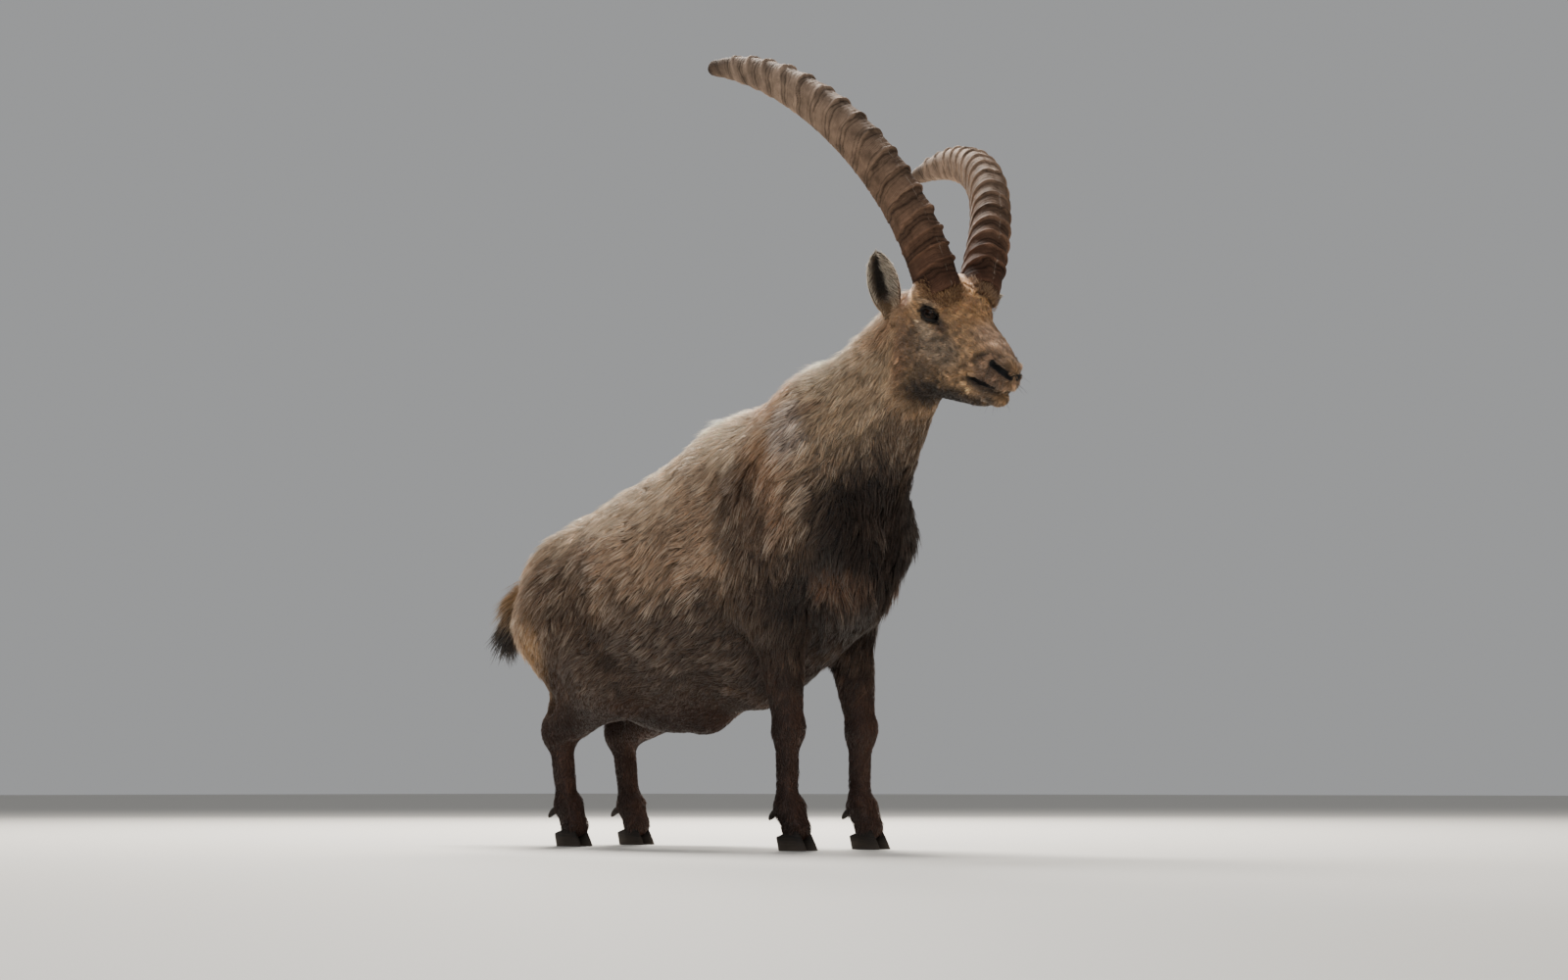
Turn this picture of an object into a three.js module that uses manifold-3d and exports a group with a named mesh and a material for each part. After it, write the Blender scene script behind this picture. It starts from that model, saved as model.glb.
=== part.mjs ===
// Alpine ibex, an adult male, life size: a still model that stands on level ground, forehand high
// and head raised. Millimetres, +Z up, +X the way the body faces, +Y the animal's left.
// The body is one smooth field of rounded shapes. It is meshed part by part and parted with thin cuts.
import * as THREE from "three";
import { mergeVertices } from "three/addons/utils/BufferGeometryUtils.js";
import Module from "manifold-3d";

const wasm = await Module();
wasm.setup();

// Driving dimensions
const gap = 0.3; // between touching parts
const trunkPitch = 17; // degrees that the forehand stands higher than on level ground
const trunkPivot = [-100, 0, 620]; // in the trunk, the middle of the shoulders
const shouldersAt = [-145, 0, 605]; // where that point stands
const headAt = [326, -25, 905]; // midpoint between the eyes
const headYaw = -15.2; // degrees, negative turns the face to its right
const headPitch = 29.9; // degrees nose down
const headRoll = -3.3; // degrees, negative lifts the left side
const foreFeet = { right: [0, -90], left: [26, 84] };
const hindFeet = { right: [-550, -88], left: [-552, 86] };
const middle = [-177, 97]; // of the whole model's outline on the ground

// Vectors
const add = (a, b) => a.map((v, i) => v + b[i]);
const sub = (a, b) => a.map((v, i) => v - b[i]);
const scale = (a, s) => a.map((v) => v * s);
const mix = (a, b, t) => a.map((v, i) => v + (b[i] - v) * t);
const dot = (a, b) => a[0] * b[0] + a[1] * b[1] + a[2] * b[2];
const cross = (a, b) => [a[1] * b[2] - a[2] * b[1], a[2] * b[0] - a[0] * b[2], a[0] * b[1] - a[1] * b[0]];
const unit = (a) => scale(a, 1 / Math.hypot(...a));
const rad = (degrees) => (degrees * Math.PI) / 180;

// A frame has an origin and three unit axes: forward, left and up.
const placeIn = (frame, p) =>
  add(frame.origin, add(add(scale(frame.axes[0], p[0]), scale(frame.axes[1], p[1])), scale(frame.axes[2], p[2])));

function turned(origin, yaw, pitchDown, roll, pivot = [0, 0, 0]) {
  const [cy, sy] = [Math.cos(rad(yaw)), Math.sin(rad(yaw))];
  const [cp, sp] = [Math.cos(rad(pitchDown)), Math.sin(rad(pitchDown))];
  const forward = [cp * cy, cp * sy, -sp];
  const level = [-sy, cy, 0];
  const straightUp = cross(forward, level);
  const [cr, sr] = [Math.cos(rad(roll)), Math.sin(rad(roll))];
  const left = sub(scale(level, cr), scale(straightUp, sr));
  const up = add(scale(straightUp, cr), scale(level, sr));
  const axes = [forward, left, up];
  const moved = placeIn({ origin: [0, 0, 0], axes }, pivot);
  return { origin: sub(add(origin, pivot), moved), axes };
}

const world = { origin: [0, 0, 0], axes: [[1, 0, 0], [0, 1, 0], [0, 0, 1]] };
const trunk = turned(sub(shouldersAt, trunkPivot), 0, -trunkPitch, 0, trunkPivot);
const head = turned(headAt, headYaw, headPitch, headRoll);

// The field: rounded cones and ellipsoids, joined with a soft blend. The tail has a field of its own.
const shapes = [];
const tailOnly = [];
let into = shapes;

function cone(frame, from, to, ra, rb, blend = 30) {
  const [a, b] = [placeIn(frame, from), placeIn(frame, to)];
  const reach = Math.hypot(...sub(b, a)) / 2 + Math.max(ra, rb);
  into.push({ kind: "cone", a, b, ra, rb, blend, centre: mix(a, b, 0.5), reach });
}

function ball(frame, centre, radii, blend = 30, nod = 0, swing = 0) {
  const own = turned([0, 0, 0], swing, nod, 0);
  const axes = own.axes.map((v) => sub(placeIn(frame, v), frame.origin));
  into.push({ kind: "ball", centre: placeIn(frame, centre), radii, axes, blend, reach: Math.max(...radii) });
}

const bothSides = (make) => [-1, 1].forEach((side) => make(side));

function coneDistance(s, p) {
  const ba = sub(s.b, s.a);
  const pa = sub(p, s.a);
  const h = Math.min(1, Math.max(0, dot(pa, ba) / dot(ba, ba)));
  return Math.hypot(...sub(pa, scale(ba, h))) - (s.ra + (s.rb - s.ra) * h);
}

function ballDistance(s, p) {
  const d = sub(p, s.centre);
  const q = s.axes.map((axis, i) => dot(d, axis) / s.radii[i]);
  const g = s.axes.map((axis, i) => dot(d, axis) / s.radii[i] ** 2);
  const k = Math.hypot(...q);
  return k < 1e-6 ? -Math.min(...s.radii) : (k * (k - 1)) / Math.max(1e-9, Math.hypot(...g));
}

function softMin(a, b, k) {
  const h = Math.max(k - Math.abs(a - b), 0) / k;
  return Math.min(a, b) - (h * h * k) / 4;
}

function field(list, p) {
  let d = 1e6;
  for (const s of list) {
    const away = Math.hypot(p[0] - s.centre[0], p[1] - s.centre[1], p[2] - s.centre[2]) - s.reach;
    if (away > d + s.blend) continue;
    d = softMin(d, s.kind === "cone" ? coneDistance(s, p) : ballDistance(s, p), s.blend);
  }
  return d;
}

// Trunk, in the frame of the trunk
function trunkShapes() {
  ball(trunk, [-120, 0, 590], [250, 150, 222], 60);
  ball(trunk, [-332, 0, 534], [250, 184, 244], 60);
  ball(trunk, [-506, 0, 614], [152, 130, 146], 60);
  cone(trunk, [-62, 0, 724], [-200, 0, 700], 56, 58, 60);
  cone(trunk, [-200, 0, 694], [-528, 0, 680], 60, 70, 60);
  cone(trunk, [-530, 0, 640], [-574, 0, 614], 80, 58, 50);
  ball(trunk, [88, 0, 505], [85, 100, 125], 50);
  cone(trunk, [40, 0, 414], [-180, 0, 366], 75, 88, 50);
  ball(trunk, [-322, 0, 306], [42, 26, 28], 30);
  bothSides((side) => {
    ball(trunk, [20, side * 92, 560], [120, 62, 165], 45, 20);
    ball(trunk, [102, side * 84, 515], [62, 48, 72], 40);
    ball(trunk, [-50, side * 90, 455], [80, 50, 85], 40);
    ball(trunk, [-534, side * 80, 578], [120, 68, 156], 50, -12);
    ball(trunk, [-584, side * 52, 606], [70, 52, 98], 40);
  });
}

// Legs: joints in the order of the limb, each with its radius
function foreLeg(side, foot) {
  const shoulder = placeIn(trunk, [-30, side * 98, 470]);
  const elbow = placeIn(trunk, [-38, side * 98, 392]);
  const [x, y] = foot;
  cone(world, shoulder, elbow, 52, 44, 40);
  cone(world, elbow, [x - 4, y, 225], 50, 28, 30);
  ball(world, [x - 2, y, 212], [31, 29, 36], 16);
  cone(world, [x - 6, y, 195], [x - 6, y, 95], 23, 21, 16);
  ball(world, [x - 2, y, 76], [30, 29, 27], 14);
  cone(world, [x, y, 72], [x + 14, y, 40], 25, 28, 12);
}

function hindLeg(side, foot) {
  const hip = placeIn(trunk, [-545, side * 84, 590]);
  const [x, y] = foot;
  const hock = [x - 20, y, 216];
  const stifle = add(hip, [152, side * 34, -140]);
  cone(world, hip, stifle, 92, 56, 40);
  cone(world, add(hip, [-45, -side * 6, -30]), [x + 4, y, 320], 66, 42, 40);
  cone(world, stifle, hock, 62, 34, 40);
  cone(world, [x - 18, y, 320], [x - 42, y, 236], 18, 15, 22);
  ball(world, [x - 24, y, 216], [35, 27, 34], 20);
  cone(world, [x - 20, y, 205], [x - 4, y, 98], 25, 22, 16);
  ball(world, [x + 2, y, 78], [30, 28, 27], 14);
  cone(world, [x + 4, y, 74], [x + 18, y, 40], 25, 28, 12);
}

// Neck and head
function neckShapes() {
  const crest = placeIn(head, [-112, 0, -34]);
  const throat = placeIn(head, [-68, 0, -76]);
  cone(world, placeIn(trunk, [4, 0, 636]), placeIn(trunk, [92, 0, 718]), 130, 104, 60);
  cone(world, placeIn(trunk, [66, 0, 684]), crest, 100, 54, 60);
  cone(world, placeIn(trunk, [112, 0, 585]), throat, 100, 60, 60);
}

function headShapes() {
  ball(head, [-48, 0, 10], [78, 62, 62], 26);
  ball(head, [-18, 0, 38], [50, 50, 36], 24);
  cone(head, [10, 0, 6], [112, 0, -12], 46, 32, 24);
  ball(head, [134, 0, -24], [44, 32, 31], 20);
  ball(head, [159, 0, -38], [25, 28, 21], 14);
  ball(head, [163, 0, -16], [19, 22, 17], 12);
  ball(head, [150, 0, -71], [25, 22, 17], 12);
  bothSides((side) => {
    ball(head, [-10, side * 41, 16], [37, 21, 26], 16);
    ball(head, [55, side * 24, -26], [66, 28, 36], 24);
    ball(head, [-14, side * 38, -60], [60, 28, 52], 24);
    cone(head, [-34, side * 30, -108], [110, side * 12, -83], 31, 20, 20);
    cone(head, [60, side * 26, -62], [132, side * 16, -62], 24, 18, 16);
    cone(head, [-50, side * 34, 28], hornSeat(side), 38, 37, 20);
    cone(head, [-88, side * 46, -20], earSeat(side), 26, 17, 12);
  });
}

// Where horns and ears grow from, in the frame of the head
const hornSeat = (side) => [-37, side * 46, 42];
const earSeat = (side) => [-113, side * 64, -22];

function tailShapes() {
  cone(world, [-626, 0, 535], [-702, 0, 525], 32, 27, 20);
  cone(world, [-702, 0, 525], [-756, -12, 470], 27, 21, 16);
  cone(world, [-756, -12, 470], [-786, -26, 404], 21, 13, 16);
}

trunkShapes();
foreLeg(-1, foreFeet.right);
foreLeg(1, foreFeet.left);
hindLeg(-1, hindFeet.right);
hindLeg(1, hindFeet.left);
neckShapes();
headShapes();
cone(world, [-596, 0, 540], [-700, 0, 526], 44, 29, 30);
into = tailOnly;
tailShapes();
into = shapes;

// A cube's eight corners, its twelve edges and its six faces as rings of edges
const cubeCorners = [0, 1, 2, 3, 4, 5, 6, 7].map((c) => [c & 1, (c >> 1) & 1, (c >> 2) & 1]);
const cornerOf = ([a, b, c]) => a + 2 * b + 4 * c;
const cubeEdges = [];
for (let axis = 0; axis < 3; axis++)
  for (const start of cubeCorners.filter((c) => c[axis] === 0))
    cubeEdges.push([cornerOf(start), cornerOf(start.map((v, i) => (i === axis ? 1 : v))), axis]);
const edgeFrom = (start, axis) => cubeEdges.findIndex(([a, , way]) => a === cornerOf(start) && way === axis);
const cubeFaces = [0, 1, 2].flatMap((axis) => [0, 1].map((level) =>
  cubeCorners.map((c, i) => [c, i]).filter(([c]) => c[axis] === level).map(([, i]) => i)));

// The sheets of surface that pass through a cube, each as a list of crossed edges
function sheetsOf(v) {
  const crossed = cubeEdges.map(([a, b], i) => (v[a] < 0 !== v[b] < 0 ? i : -1)).filter((i) => i >= 0);
  const group = new Map(crossed.map((e) => [e, e]));
  const join = (e, f) => {
    const [from, to] = [group.get(e), group.get(f)];
    for (const key of crossed) if (group.get(key) === from) group.set(key, to);
  };
  for (const face of cubeFaces) {
    const here = crossed.filter((e) => face.includes(cubeEdges[e][0]) && face.includes(cubeEdges[e][1]));
    if (here.length === 2) join(here[0], here[1]);
    if (here.length === 4)
      for (const corner of face.filter((c) => v[c] < 0)) {
        const pair = here.filter((e) => cubeEdges[e][0] === corner || cubeEdges[e][1] === corner);
        join(pair[0], pair[1]);
      }
  }
  const sheets = new Map();
  for (const e of crossed) sheets.set(group.get(e), [...(sheets.get(group.get(e)) ?? []), e]);
  return [...sheets.values()];
}

// A closed mesh of the field inside a box, by surface nets, with each point moved onto the surface
function surfaceOf(list, lo, hi, cell) {
  const n = lo.map((v, i) => Math.max(3, Math.round((hi[i] - v) / cell[i]) + 1));
  const step = lo.map((v, i) => (hi[i] - v) / (n[i] - 1));
  const at = (i, j, k) => [lo[0] + i * step[0], lo[1] + j * step[1], lo[2] + k * step[2]];
  const index = (i, j, k) => (i * n[1] + j) * n[2] + k;
  const value = new Float64Array(n[0] * n[1] * n[2]);
  for (let i = 0; i < n[0]; i++)
    for (let j = 0; j < n[1]; j++)
      for (let k = 0; k < n[2]; k++) {
        const edge = i === 0 || j === 0 || k === 0 || i === n[0] - 1 || j === n[1] - 1 || k === n[2] - 1;
        value[index(i, j, k)] = edge ? Math.max(step[0] / 2, field(list, at(i, j, k))) : field(list, at(i, j, k));
      }
  const pointOf = new Map();
  const points = [];
  const inner = [];
  for (let i = 0; i < n[0] - 1; i++)
    for (let j = 0; j < n[1] - 1; j++)
      for (let k = 0; k < n[2] - 1; k++) {
        const v = cubeCorners.map(([a, b, c]) => value[index(i + a, j + b, k + c)]);
        if (v.every((x) => x < 0) || v.every((x) => x >= 0)) continue;
        for (const sheet of sheetsOf(v)) {
          let sum = [0, 0, 0];
          for (const edge of sheet) {
            const [a, b] = cubeEdges[edge];
            const t = v[a] / (v[a] - v[b]);
            const pa = at(i + cubeCorners[a][0], j + cubeCorners[a][1], k + cubeCorners[a][2]);
            const pb = at(i + cubeCorners[b][0], j + cubeCorners[b][1], k + cubeCorners[b][2]);
            sum = add(sum, mix(pa, pb, t));
            pointOf.set(index(i, j, k) * 12 + edge, points.length);
          }
          points.push(scale(sum, 1 / sheet.length));
          inner.push(i > 0 && j > 0 && k > 0 && i < n[0] - 2 && j < n[1] - 2 && k < n[2] - 2);
        }
      }
  const triangles = [];
  const quad = (around, flip) => {
    const [a, b, c, d] = around;
    const straight = Math.hypot(...sub(points[a], points[c])) <= Math.hypot(...sub(points[b], points[d]));
    const faces = straight ? [[a, b, c], [a, c, d]] : [[a, b, d], [b, c, d]];
    for (const [x, y, z] of faces) triangles.push(...(flip ? [x, z, y] : [x, y, z]));
  };
  for (let i = 0; i < n[0] - 1; i++)
    for (let j = 0; j < n[1] - 1; j++)
      for (let k = 0; k < n[2] - 1; k++)
        for (let axis = 0; axis < 3; axis++) {
          if ([i, j, k].some((x, m) => m !== axis && x === 0)) continue;
          const here = value[index(i, j, k)] < 0;
          const next = [i, j, k].map((x, m) => x + (m === axis ? 1 : 0));
          if (here === value[index(...next)] < 0) continue;
          const [u, w] = [(axis + 1) % 3, (axis + 2) % 3];
          const around = [[1, 1], [0, 1], [0, 0], [1, 0]].map(([du, dw]) => {
            const cell = [i, j, k];
            cell[u] -= du;
            cell[w] -= dw;
            const start = [0, 0, 0];
            start[u] = du;
            start[w] = dw;
            return pointOf.get(index(...cell) * 12 + edgeFrom(start, axis));
          });
          quad(around, !here);
        }
  settle(list, points, triangles, inner);
  const geometry = new THREE.BufferGeometry();
  geometry.setAttribute("position", new THREE.Float32BufferAttribute(points.flat(), 3));
  geometry.setIndex(triangles);
  return geometry;
}

function slope(list, p) {
  const e = 1;
  return [0, 1, 2].map((i) => {
    const [a, b] = [[...p], [...p]];
    a[i] += e;
    b[i] -= e;
    return (field(list, a) - field(list, b)) / (2 * e);
  });
}

// Evens the points out over the surface and puts each one on it
function settle(list, points, triangles, inner) {
  const near = points.map(() => new Set());
  for (let t = 0; t < triangles.length; t += 3)
    for (let c = 0; c < 3; c++) near[triangles[t + c]].add(triangles[t + ((c + 1) % 3)]);
  const land = (p) => {
    const g = slope(list, p);
    return sub(p, scale(g, field(list, p) / Math.max(0.2, dot(g, g))));
  };
  for (let round = 0; round < 3; round++) {
    const before = points.map((p) => [...p]);
    points.forEach((p, i) => {
      if (!inner[i]) return;
      const ring = [...near[i]];
      const middle = scale(ring.reduce((a, j) => add(a, before[j]), [0, 0, 0]), 1 / ring.length);
      const eased = round < 2 ? mix(before[i], middle, 0.5) : before[i];
      points[i] = land(land(eased));
    });
  }
}

// Solids for joining and cutting
function solidOf(geometry) {
  const bare = new THREE.BufferGeometry();
  bare.setAttribute("position", geometry.getAttribute("position"));
  if (geometry.index) bare.setIndex(geometry.index);
  const merged = mergeVertices(bare, 1e-3);
  return new wasm.Manifold(new wasm.Mesh({
    numProp: 3,
    vertProperties: new Float32Array(merged.attributes.position.array),
    triVerts: new Uint32Array(merged.index.array),
  }));
}

function geometryOf(solid) {
  const mesh = solid.getMesh();
  const geometry = new THREE.BufferGeometry();
  const places = new Float32Array(mesh.numVert * 3);
  for (let i = 0; i < mesh.numVert; i++)
    places.set(mesh.vertProperties.subarray(i * mesh.numProp, i * mesh.numProp + 3), i * 3);
  geometry.setAttribute("position", new THREE.BufferAttribute(places, 3));
  geometry.setIndex(new THREE.BufferAttribute(mesh.triVerts, 1));
  return geometry;
}

const largest = (solid) => solid.decompose().sort((a, b) => b.volume() - a.volume())[0];

const ibex = new THREE.Group();
function node(name, solid, look) {
  const mesh = new THREE.Mesh(geometryOf(largest(solid)), look);
  mesh.geometry.translate(-middle[0], -middle[1], 0);
  mesh.name = name;
  ibex.add(mesh);
}

const coat = new THREE.MeshStandardMaterial({ color: 0x6b5344, roughness: 0.9, metalness: 0 });
const darkCoat = new THREE.MeshStandardMaterial({ color: 0x36271f, roughness: 0.9, metalness: 0 });
const earSkin = new THREE.MeshStandardMaterial({ color: 0x8c7d6c, roughness: 0.85, metalness: 0 });
const hornRind = new THREE.MeshStandardMaterial({ color: 0x5d5046, roughness: 0.65, metalness: 0 });
const hoofRind = new THREE.MeshStandardMaterial({ color: 0x2b2622, roughness: 0.5, metalness: 0 });
const eyeGloss = new THREE.MeshStandardMaterial({ color: 0x3a2413, roughness: 0.15, metalness: 0 });

// Half space beyond a point, the way a direction points, as a big box
const big = 3000;
function beyond(point, direction, start = 0) {
  const box = new THREE.BoxGeometry(big, big, big);
  box.translate(0, 0, big / 2 + start);
  box.applyQuaternion(new THREE.Quaternion().setFromUnitVectors(
    new THREE.Vector3(0, 0, 1), new THREE.Vector3(...unit(direction))));
  box.translate(...point);
  return solidOf(box);
}

function block(lo, hi) {
  const box = new THREE.BoxGeometry(...sub(hi, lo));
  box.translate(...mix(lo, hi, 0.5));
  return solidOf(box);
}

// A closed skin over rings of points: fans close both ends
function loft(rings) {
  const n = rings[0].length;
  const points = rings.flat();
  const first = points.push(rings[0].reduce(add, [0, 0, 0]).map((v) => v / n)) - 1;
  const last = points.push(rings.at(-1).reduce(add, [0, 0, 0]).map((v) => v / n)) - 1;
  const index = [];
  for (let i = 0; i < rings.length; i++)
    for (let j = 0; j < n; j++) {
      const k = (j + 1) % n;
      if (i === 0) index.push(first, k, j);
      if (i === rings.length - 1) index.push(last, i * n + j, i * n + k);
      else index.push(i * n + j, i * n + k, (i + 1) * n + k, i * n + j, (i + 1) * n + k, (i + 1) * n + j);
    }
  const geometry = new THREE.BufferGeometry();
  geometry.setAttribute("position", new THREE.Float32BufferAttribute(points.flat(), 3));
  geometry.setIndex(index);
  const solid = solidOf(geometry);
  if (solid.volume() > 0) return solid;
  const flipped = geometry.clone();
  for (let t = 0; t < index.length; t += 3) [index[t + 1], index[t + 2]] = [index[t + 2], index[t + 1]];
  flipped.setIndex(index);
  return solidOf(flipped);
}

// A ring of points about a centre in the plane of two axes
const ringAbout = (centre, u, v, count, radius) =>
  Array.from({ length: count }, (_, i) => {
    const angle = (2 * Math.PI * i) / count;
    const [a, b] = radius(angle);
    return add(centre, add(scale(u, a), scale(v, b)));
  });

const roundRing = (centre, u, v, count, r) =>
  ringAbout(centre, u, v, count, (angle) => [r * Math.cos(angle), r * Math.sin(angle)]);

// A round bar along points, one radius for each point
function bar(points, radii, count = 6) {
  return loft(points.map((p, i) => {
    const along = unit(sub(points[Math.min(i + 1, points.length - 1)], points[Math.max(i - 1, 0)]));
    const u = unit(cross(along, Math.abs(along[2]) < 0.9 ? [0, 0, 1] : [0, 1, 0]));
    return roundRing(p, u, cross(along, u), count, radii[i]);
  }));
}

function spread(count, value) {
  return Array.from({ length: count }, (_, i) => value(i / (count - 1)));
}

// Puts a point on the surface of the field
function landOn(list, p) {
  let q = p;
  for (let i = 0; i < 4; i++) {
    const g = slope(list, q);
    q = sub(q, scale(g, field(list, q) / Math.max(0.2, dot(g, g))));
  }
  return q;
}

// Cuts between the main parts
const neckCut = { at: placeIn(trunk, [70, 0, 690]), to: unit([0.74, 0, 0.67]) };
const headCut = { at: placeIn(head, [-124, 0, -30]), to: unit(sub(placeIn(head, [1, 0, 0.5]), head.origin)) };
const tailCut = { at: [-698, 0, 527], to: [-1, 0, 0] };
const kneeCut = 208;
const hockCut = 226;

const whole = (lo, hi, cell) => solidOf(surfaceOf(shapes, lo, hi, cell));

// Horns: a curved taper whose front swells into a row of knobs
const horns = {
  right: { length: 724, start: 34.1, bend: 93.2, ease: -33.4, lean: 30.1, splay: 0.2, twist: -30.3 },
  left: { length: 694, start: 46.1, bend: 101.7, ease: -48.6, lean: 34.1, splay: 2.2, twist: -23.4 },
};
const hornRoot = [-39, 49, 70]; // of the axis, in the frame of the head
const hornDepth = 42; // half of the base, fore and aft
const hornWidth = 33; // half of the base, across
const knobs = 14;
const knobHeight = 6;

const hornTaper = (s) => 1 - 0.2 * s - 0.12 * s ** 2 - 0.42 * s ** 4;

function hornDirection(horn, side, s) {
  const tilt = rad(horn.start + horn.bend * s + (horn.ease * s * s) / 2);
  const out = rad(horn.lean + horn.twist * s);
  const splay = rad(horn.splay);
  const across = Math.sin(tilt) * Math.sin(out) + Math.cos(tilt) * Math.sin(splay);
  const local = [-Math.sin(tilt) * Math.cos(out), side * across, Math.cos(tilt) * Math.cos(splay)];
  return unit(sub(placeIn(head, local), head.origin));
}

function hornPoint(horn, side, s) {
  let p = placeIn(head, [hornRoot[0], side * hornRoot[1], hornRoot[2]]);
  const steps = 60;
  for (let i = 0; i < steps; i++)
    p = add(p, scale(hornDirection(horn, side, ((i + 0.5) / steps) * s), (horn.length * s) / steps));
  return p;
}

function hornSolid(side) {
  const horn = side < 0 ? horns.right : horns.left;
  const knobAt = (k) => 0.045 + 0.83 * (k / (knobs - 1)) ** 1.05;
  const rise = (s) => {
    let h = 0;
    for (let k = 0; k < knobs; k++) h = Math.max(h, 1 - Math.abs(s - knobAt(k)) / 0.02);
    return Math.max(0, h);
  };
  const stations = [-0.02, 0.01];
  for (let k = 0; k < knobs; k++) stations.push(knobAt(k) - 0.02, knobAt(k), knobAt(k) + 0.02);
  stations.push(0.92, 0.96, 0.985, 1);
  return loft(stations.map((s) => hornRing(horn, side, s, rise(s), 0)));
}

function hornRing(horn, side, s, rise, extra) {
  const sideways = sub(placeIn(head, [0, side, 0]), head.origin);
  const along = hornDirection(horn, side, s);
  const across = unit(sub(sideways, scale(along, dot(sideways, along))));
  const front = scale(cross(along, across), -side);
  const tip = s > 0.98 ? Math.sqrt(Math.max(0.06, (1 - s) / 0.02)) : 1;
  const size = hornTaper(s) * tip;
  const swell = knobHeight * rise * (0.5 + 0.5 * hornTaper(s));
  return ringAbout(hornPoint(horn, side, s), front, across, 10, (angle) => {
    const ahead = Math.cos(angle);
    const wide = Math.sin(angle);
    const flat = 1 + 0.1 * Math.abs(Math.sin(2 * angle));
    const more = extra + (ahead > -0.1 ? swell * (0.55 + 0.45 * Math.abs(wide)) : 0);
    const narrow = ahead < 0 ? 0.86 : 1;
    return [ahead * (hornDepth * size * flat + more), wide * (hornWidth * size * flat * narrow + 0.5 * more + extra / 2)];
  });
}

// The room that a horn's root takes in the head
function hornSocket(side) {
  const horn = side < 0 ? horns.right : horns.left;
  return loft([-0.02 - gap / horn.length, 0.01, 0.08].map((s) => hornRing(horn, side, s, 0, gap * 1.5)));
}

// Ears: a leaf with a cup in its front face
const earLength = 110;
const earWidth = 54;
// The right ear stands up and back, the left one is turned out to the side
const ears = {
  right: { way: [-0.42, -0.3, 0.86], facing: [0.76, -0.5, 0.3] },
  left: { way: [-0.05, 0.92, 0.4], facing: [0.95, 0.1, 0.15] },
};
const inHead = (direction) => unit(sub(placeIn(head, direction), head.origin));
const earWay = (side) => inHead(side < 0 ? ears.right.way : ears.left.way);
const earFacing = (side) => inHead(side < 0 ? ears.right.facing : ears.left.facing);

const earLengths = [-0.1, 0.02, 0.14, 0.26, 0.4, 0.55, 0.7, 0.83, 0.94, 1];

function earRing(side, t, extra) {
  const along = earWay(side);
  const facing = earFacing(side);
  const across = unit(cross(along, facing));
  const open = cross(across, along);
  const half = 9;
  const grown = Math.max(0, t);
  const width = (earWidth / 2) * Math.max(0.1, Math.sin(Math.PI * (0.1 + 0.9 * grown) ** 0.95) ** 0.62) + extra;
  const deep = width * (1.0 - 0.62 * grown) + extra;
  const wall = 3.4 - 1.4 * grown;
  const cup = extra ? 0 : Math.min(1, Math.max(0, (t - 0.1) / 0.16));
  const bow = -5 * Math.sin(Math.PI * grown) + 9 * grown ** 2;
  const centre = add(add(placeIn(head, earSeat(side)), scale(along, earLength * t)), scale(open, bow));
  const outer = spread(half, (f) => {
    const angle = Math.PI * (f - 0.5);
    return [Math.sin(angle) * width, -Math.cos(angle) * deep];
  });
  const inner = spread(half, (f) => {
    const angle = Math.PI * (0.5 - f);
    const hollow = [Math.sin(angle) * Math.max(width - wall, 0.8), 0.3 - Math.cos(angle) * Math.max(deep - wall, 0.4)];
    const filled = [Math.sin(angle) * width * 0.97, Math.cos(angle) * deep * 0.5 + 0.4];
    return mix([...filled, 0], [...hollow, 0], cup);
  });
  return [...outer, ...inner].map(([a, b]) => add(centre, add(scale(across, a), scale(open, b))));
}

const earSolid = (side) => loft(earLengths.map((t) => earRing(side, t, 0)));
const earSocket = (side) => loft([-0.1 - gap / earLength, 0.02, 0.14, 0.26, 0.4].map((t) => earRing(side, t, gap * 2)));

// Eyes and lids
const eyeRadius = 17.5;
const eyeAt = (side) => [-11, side * 50, 12];

function eyeSolid(side, radius) {
  const sphere = new THREE.SphereGeometry(radius, 12, 8);
  sphere.translate(...placeIn(head, eyeAt(side)));
  return solidOf(sphere);
}

function eyeAxes(side) {
  const outward = inHead([0.42, side * 0.9, 0.08]);
  const level = inHead([0.9, -side * 0.42, -0.25]);
  const above = scale(unit(cross(level, outward)), side);
  return { outward, above, ahead: scale(cross(outward, above), side) };
}

// A shallow bowl lays the eye open between its lids
function eyeBowl(side) {
  const { outward, above, ahead } = eyeAxes(side);
  const bowl = new THREE.SphereGeometry(1, 10, 7);
  const axes = new THREE.Matrix4().makeBasis(
    new THREE.Vector3(...ahead).multiplyScalar(21),
    new THREE.Vector3(...above).multiplyScalar(-side * 14),
    new THREE.Vector3(...outward).multiplyScalar(12),
  );
  bowl.applyMatrix4(axes);
  bowl.translate(...add(placeIn(head, eyeAt(side)), scale(outward, eyeRadius + 2)));
  return solidOf(bowl);
}

function lidSolid(side, upper) {
  const centre = placeIn(head, eyeAt(side));
  const { outward, above, ahead } = eyeAxes(side);
  const points = spread(7, (f) => {
    const turn = (f - 0.5) * 2.1;
    const lift = (upper ? 0.62 : -0.52) * Math.cos(turn * 1.45) ** 0.8;
    const way = add(add(scale(outward, Math.cos(turn) * Math.cos(lift)), scale(ahead, Math.sin(turn))), scale(above, Math.sin(lift)));
    return add(centre, scale(unit(way), eyeRadius + 1.6));
  });
  return bar(points, spread(7, (f) => 2 + (upper ? 1.4 : 1) * Math.sin(Math.PI * f)), 5);
}

// Mouth line and nostrils
function mouthGroove() {
  const line = (side) => [
    [104, side * 42, -54], [118, side * 40, -54], [134, side * 36, -54], [150, side * 31, -55], [166, side * 22, -55],
  ];
  const marks = [...line(-1), [178, 0, -55], ...line(1).reverse()];
  const points = marks.map((p) => landOn(shapes, placeIn(head, p)));
  return bar(points, points.map((_, i) => (i === 0 || i === points.length - 1 ? 0.9 : 2)), 6);
}

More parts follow.
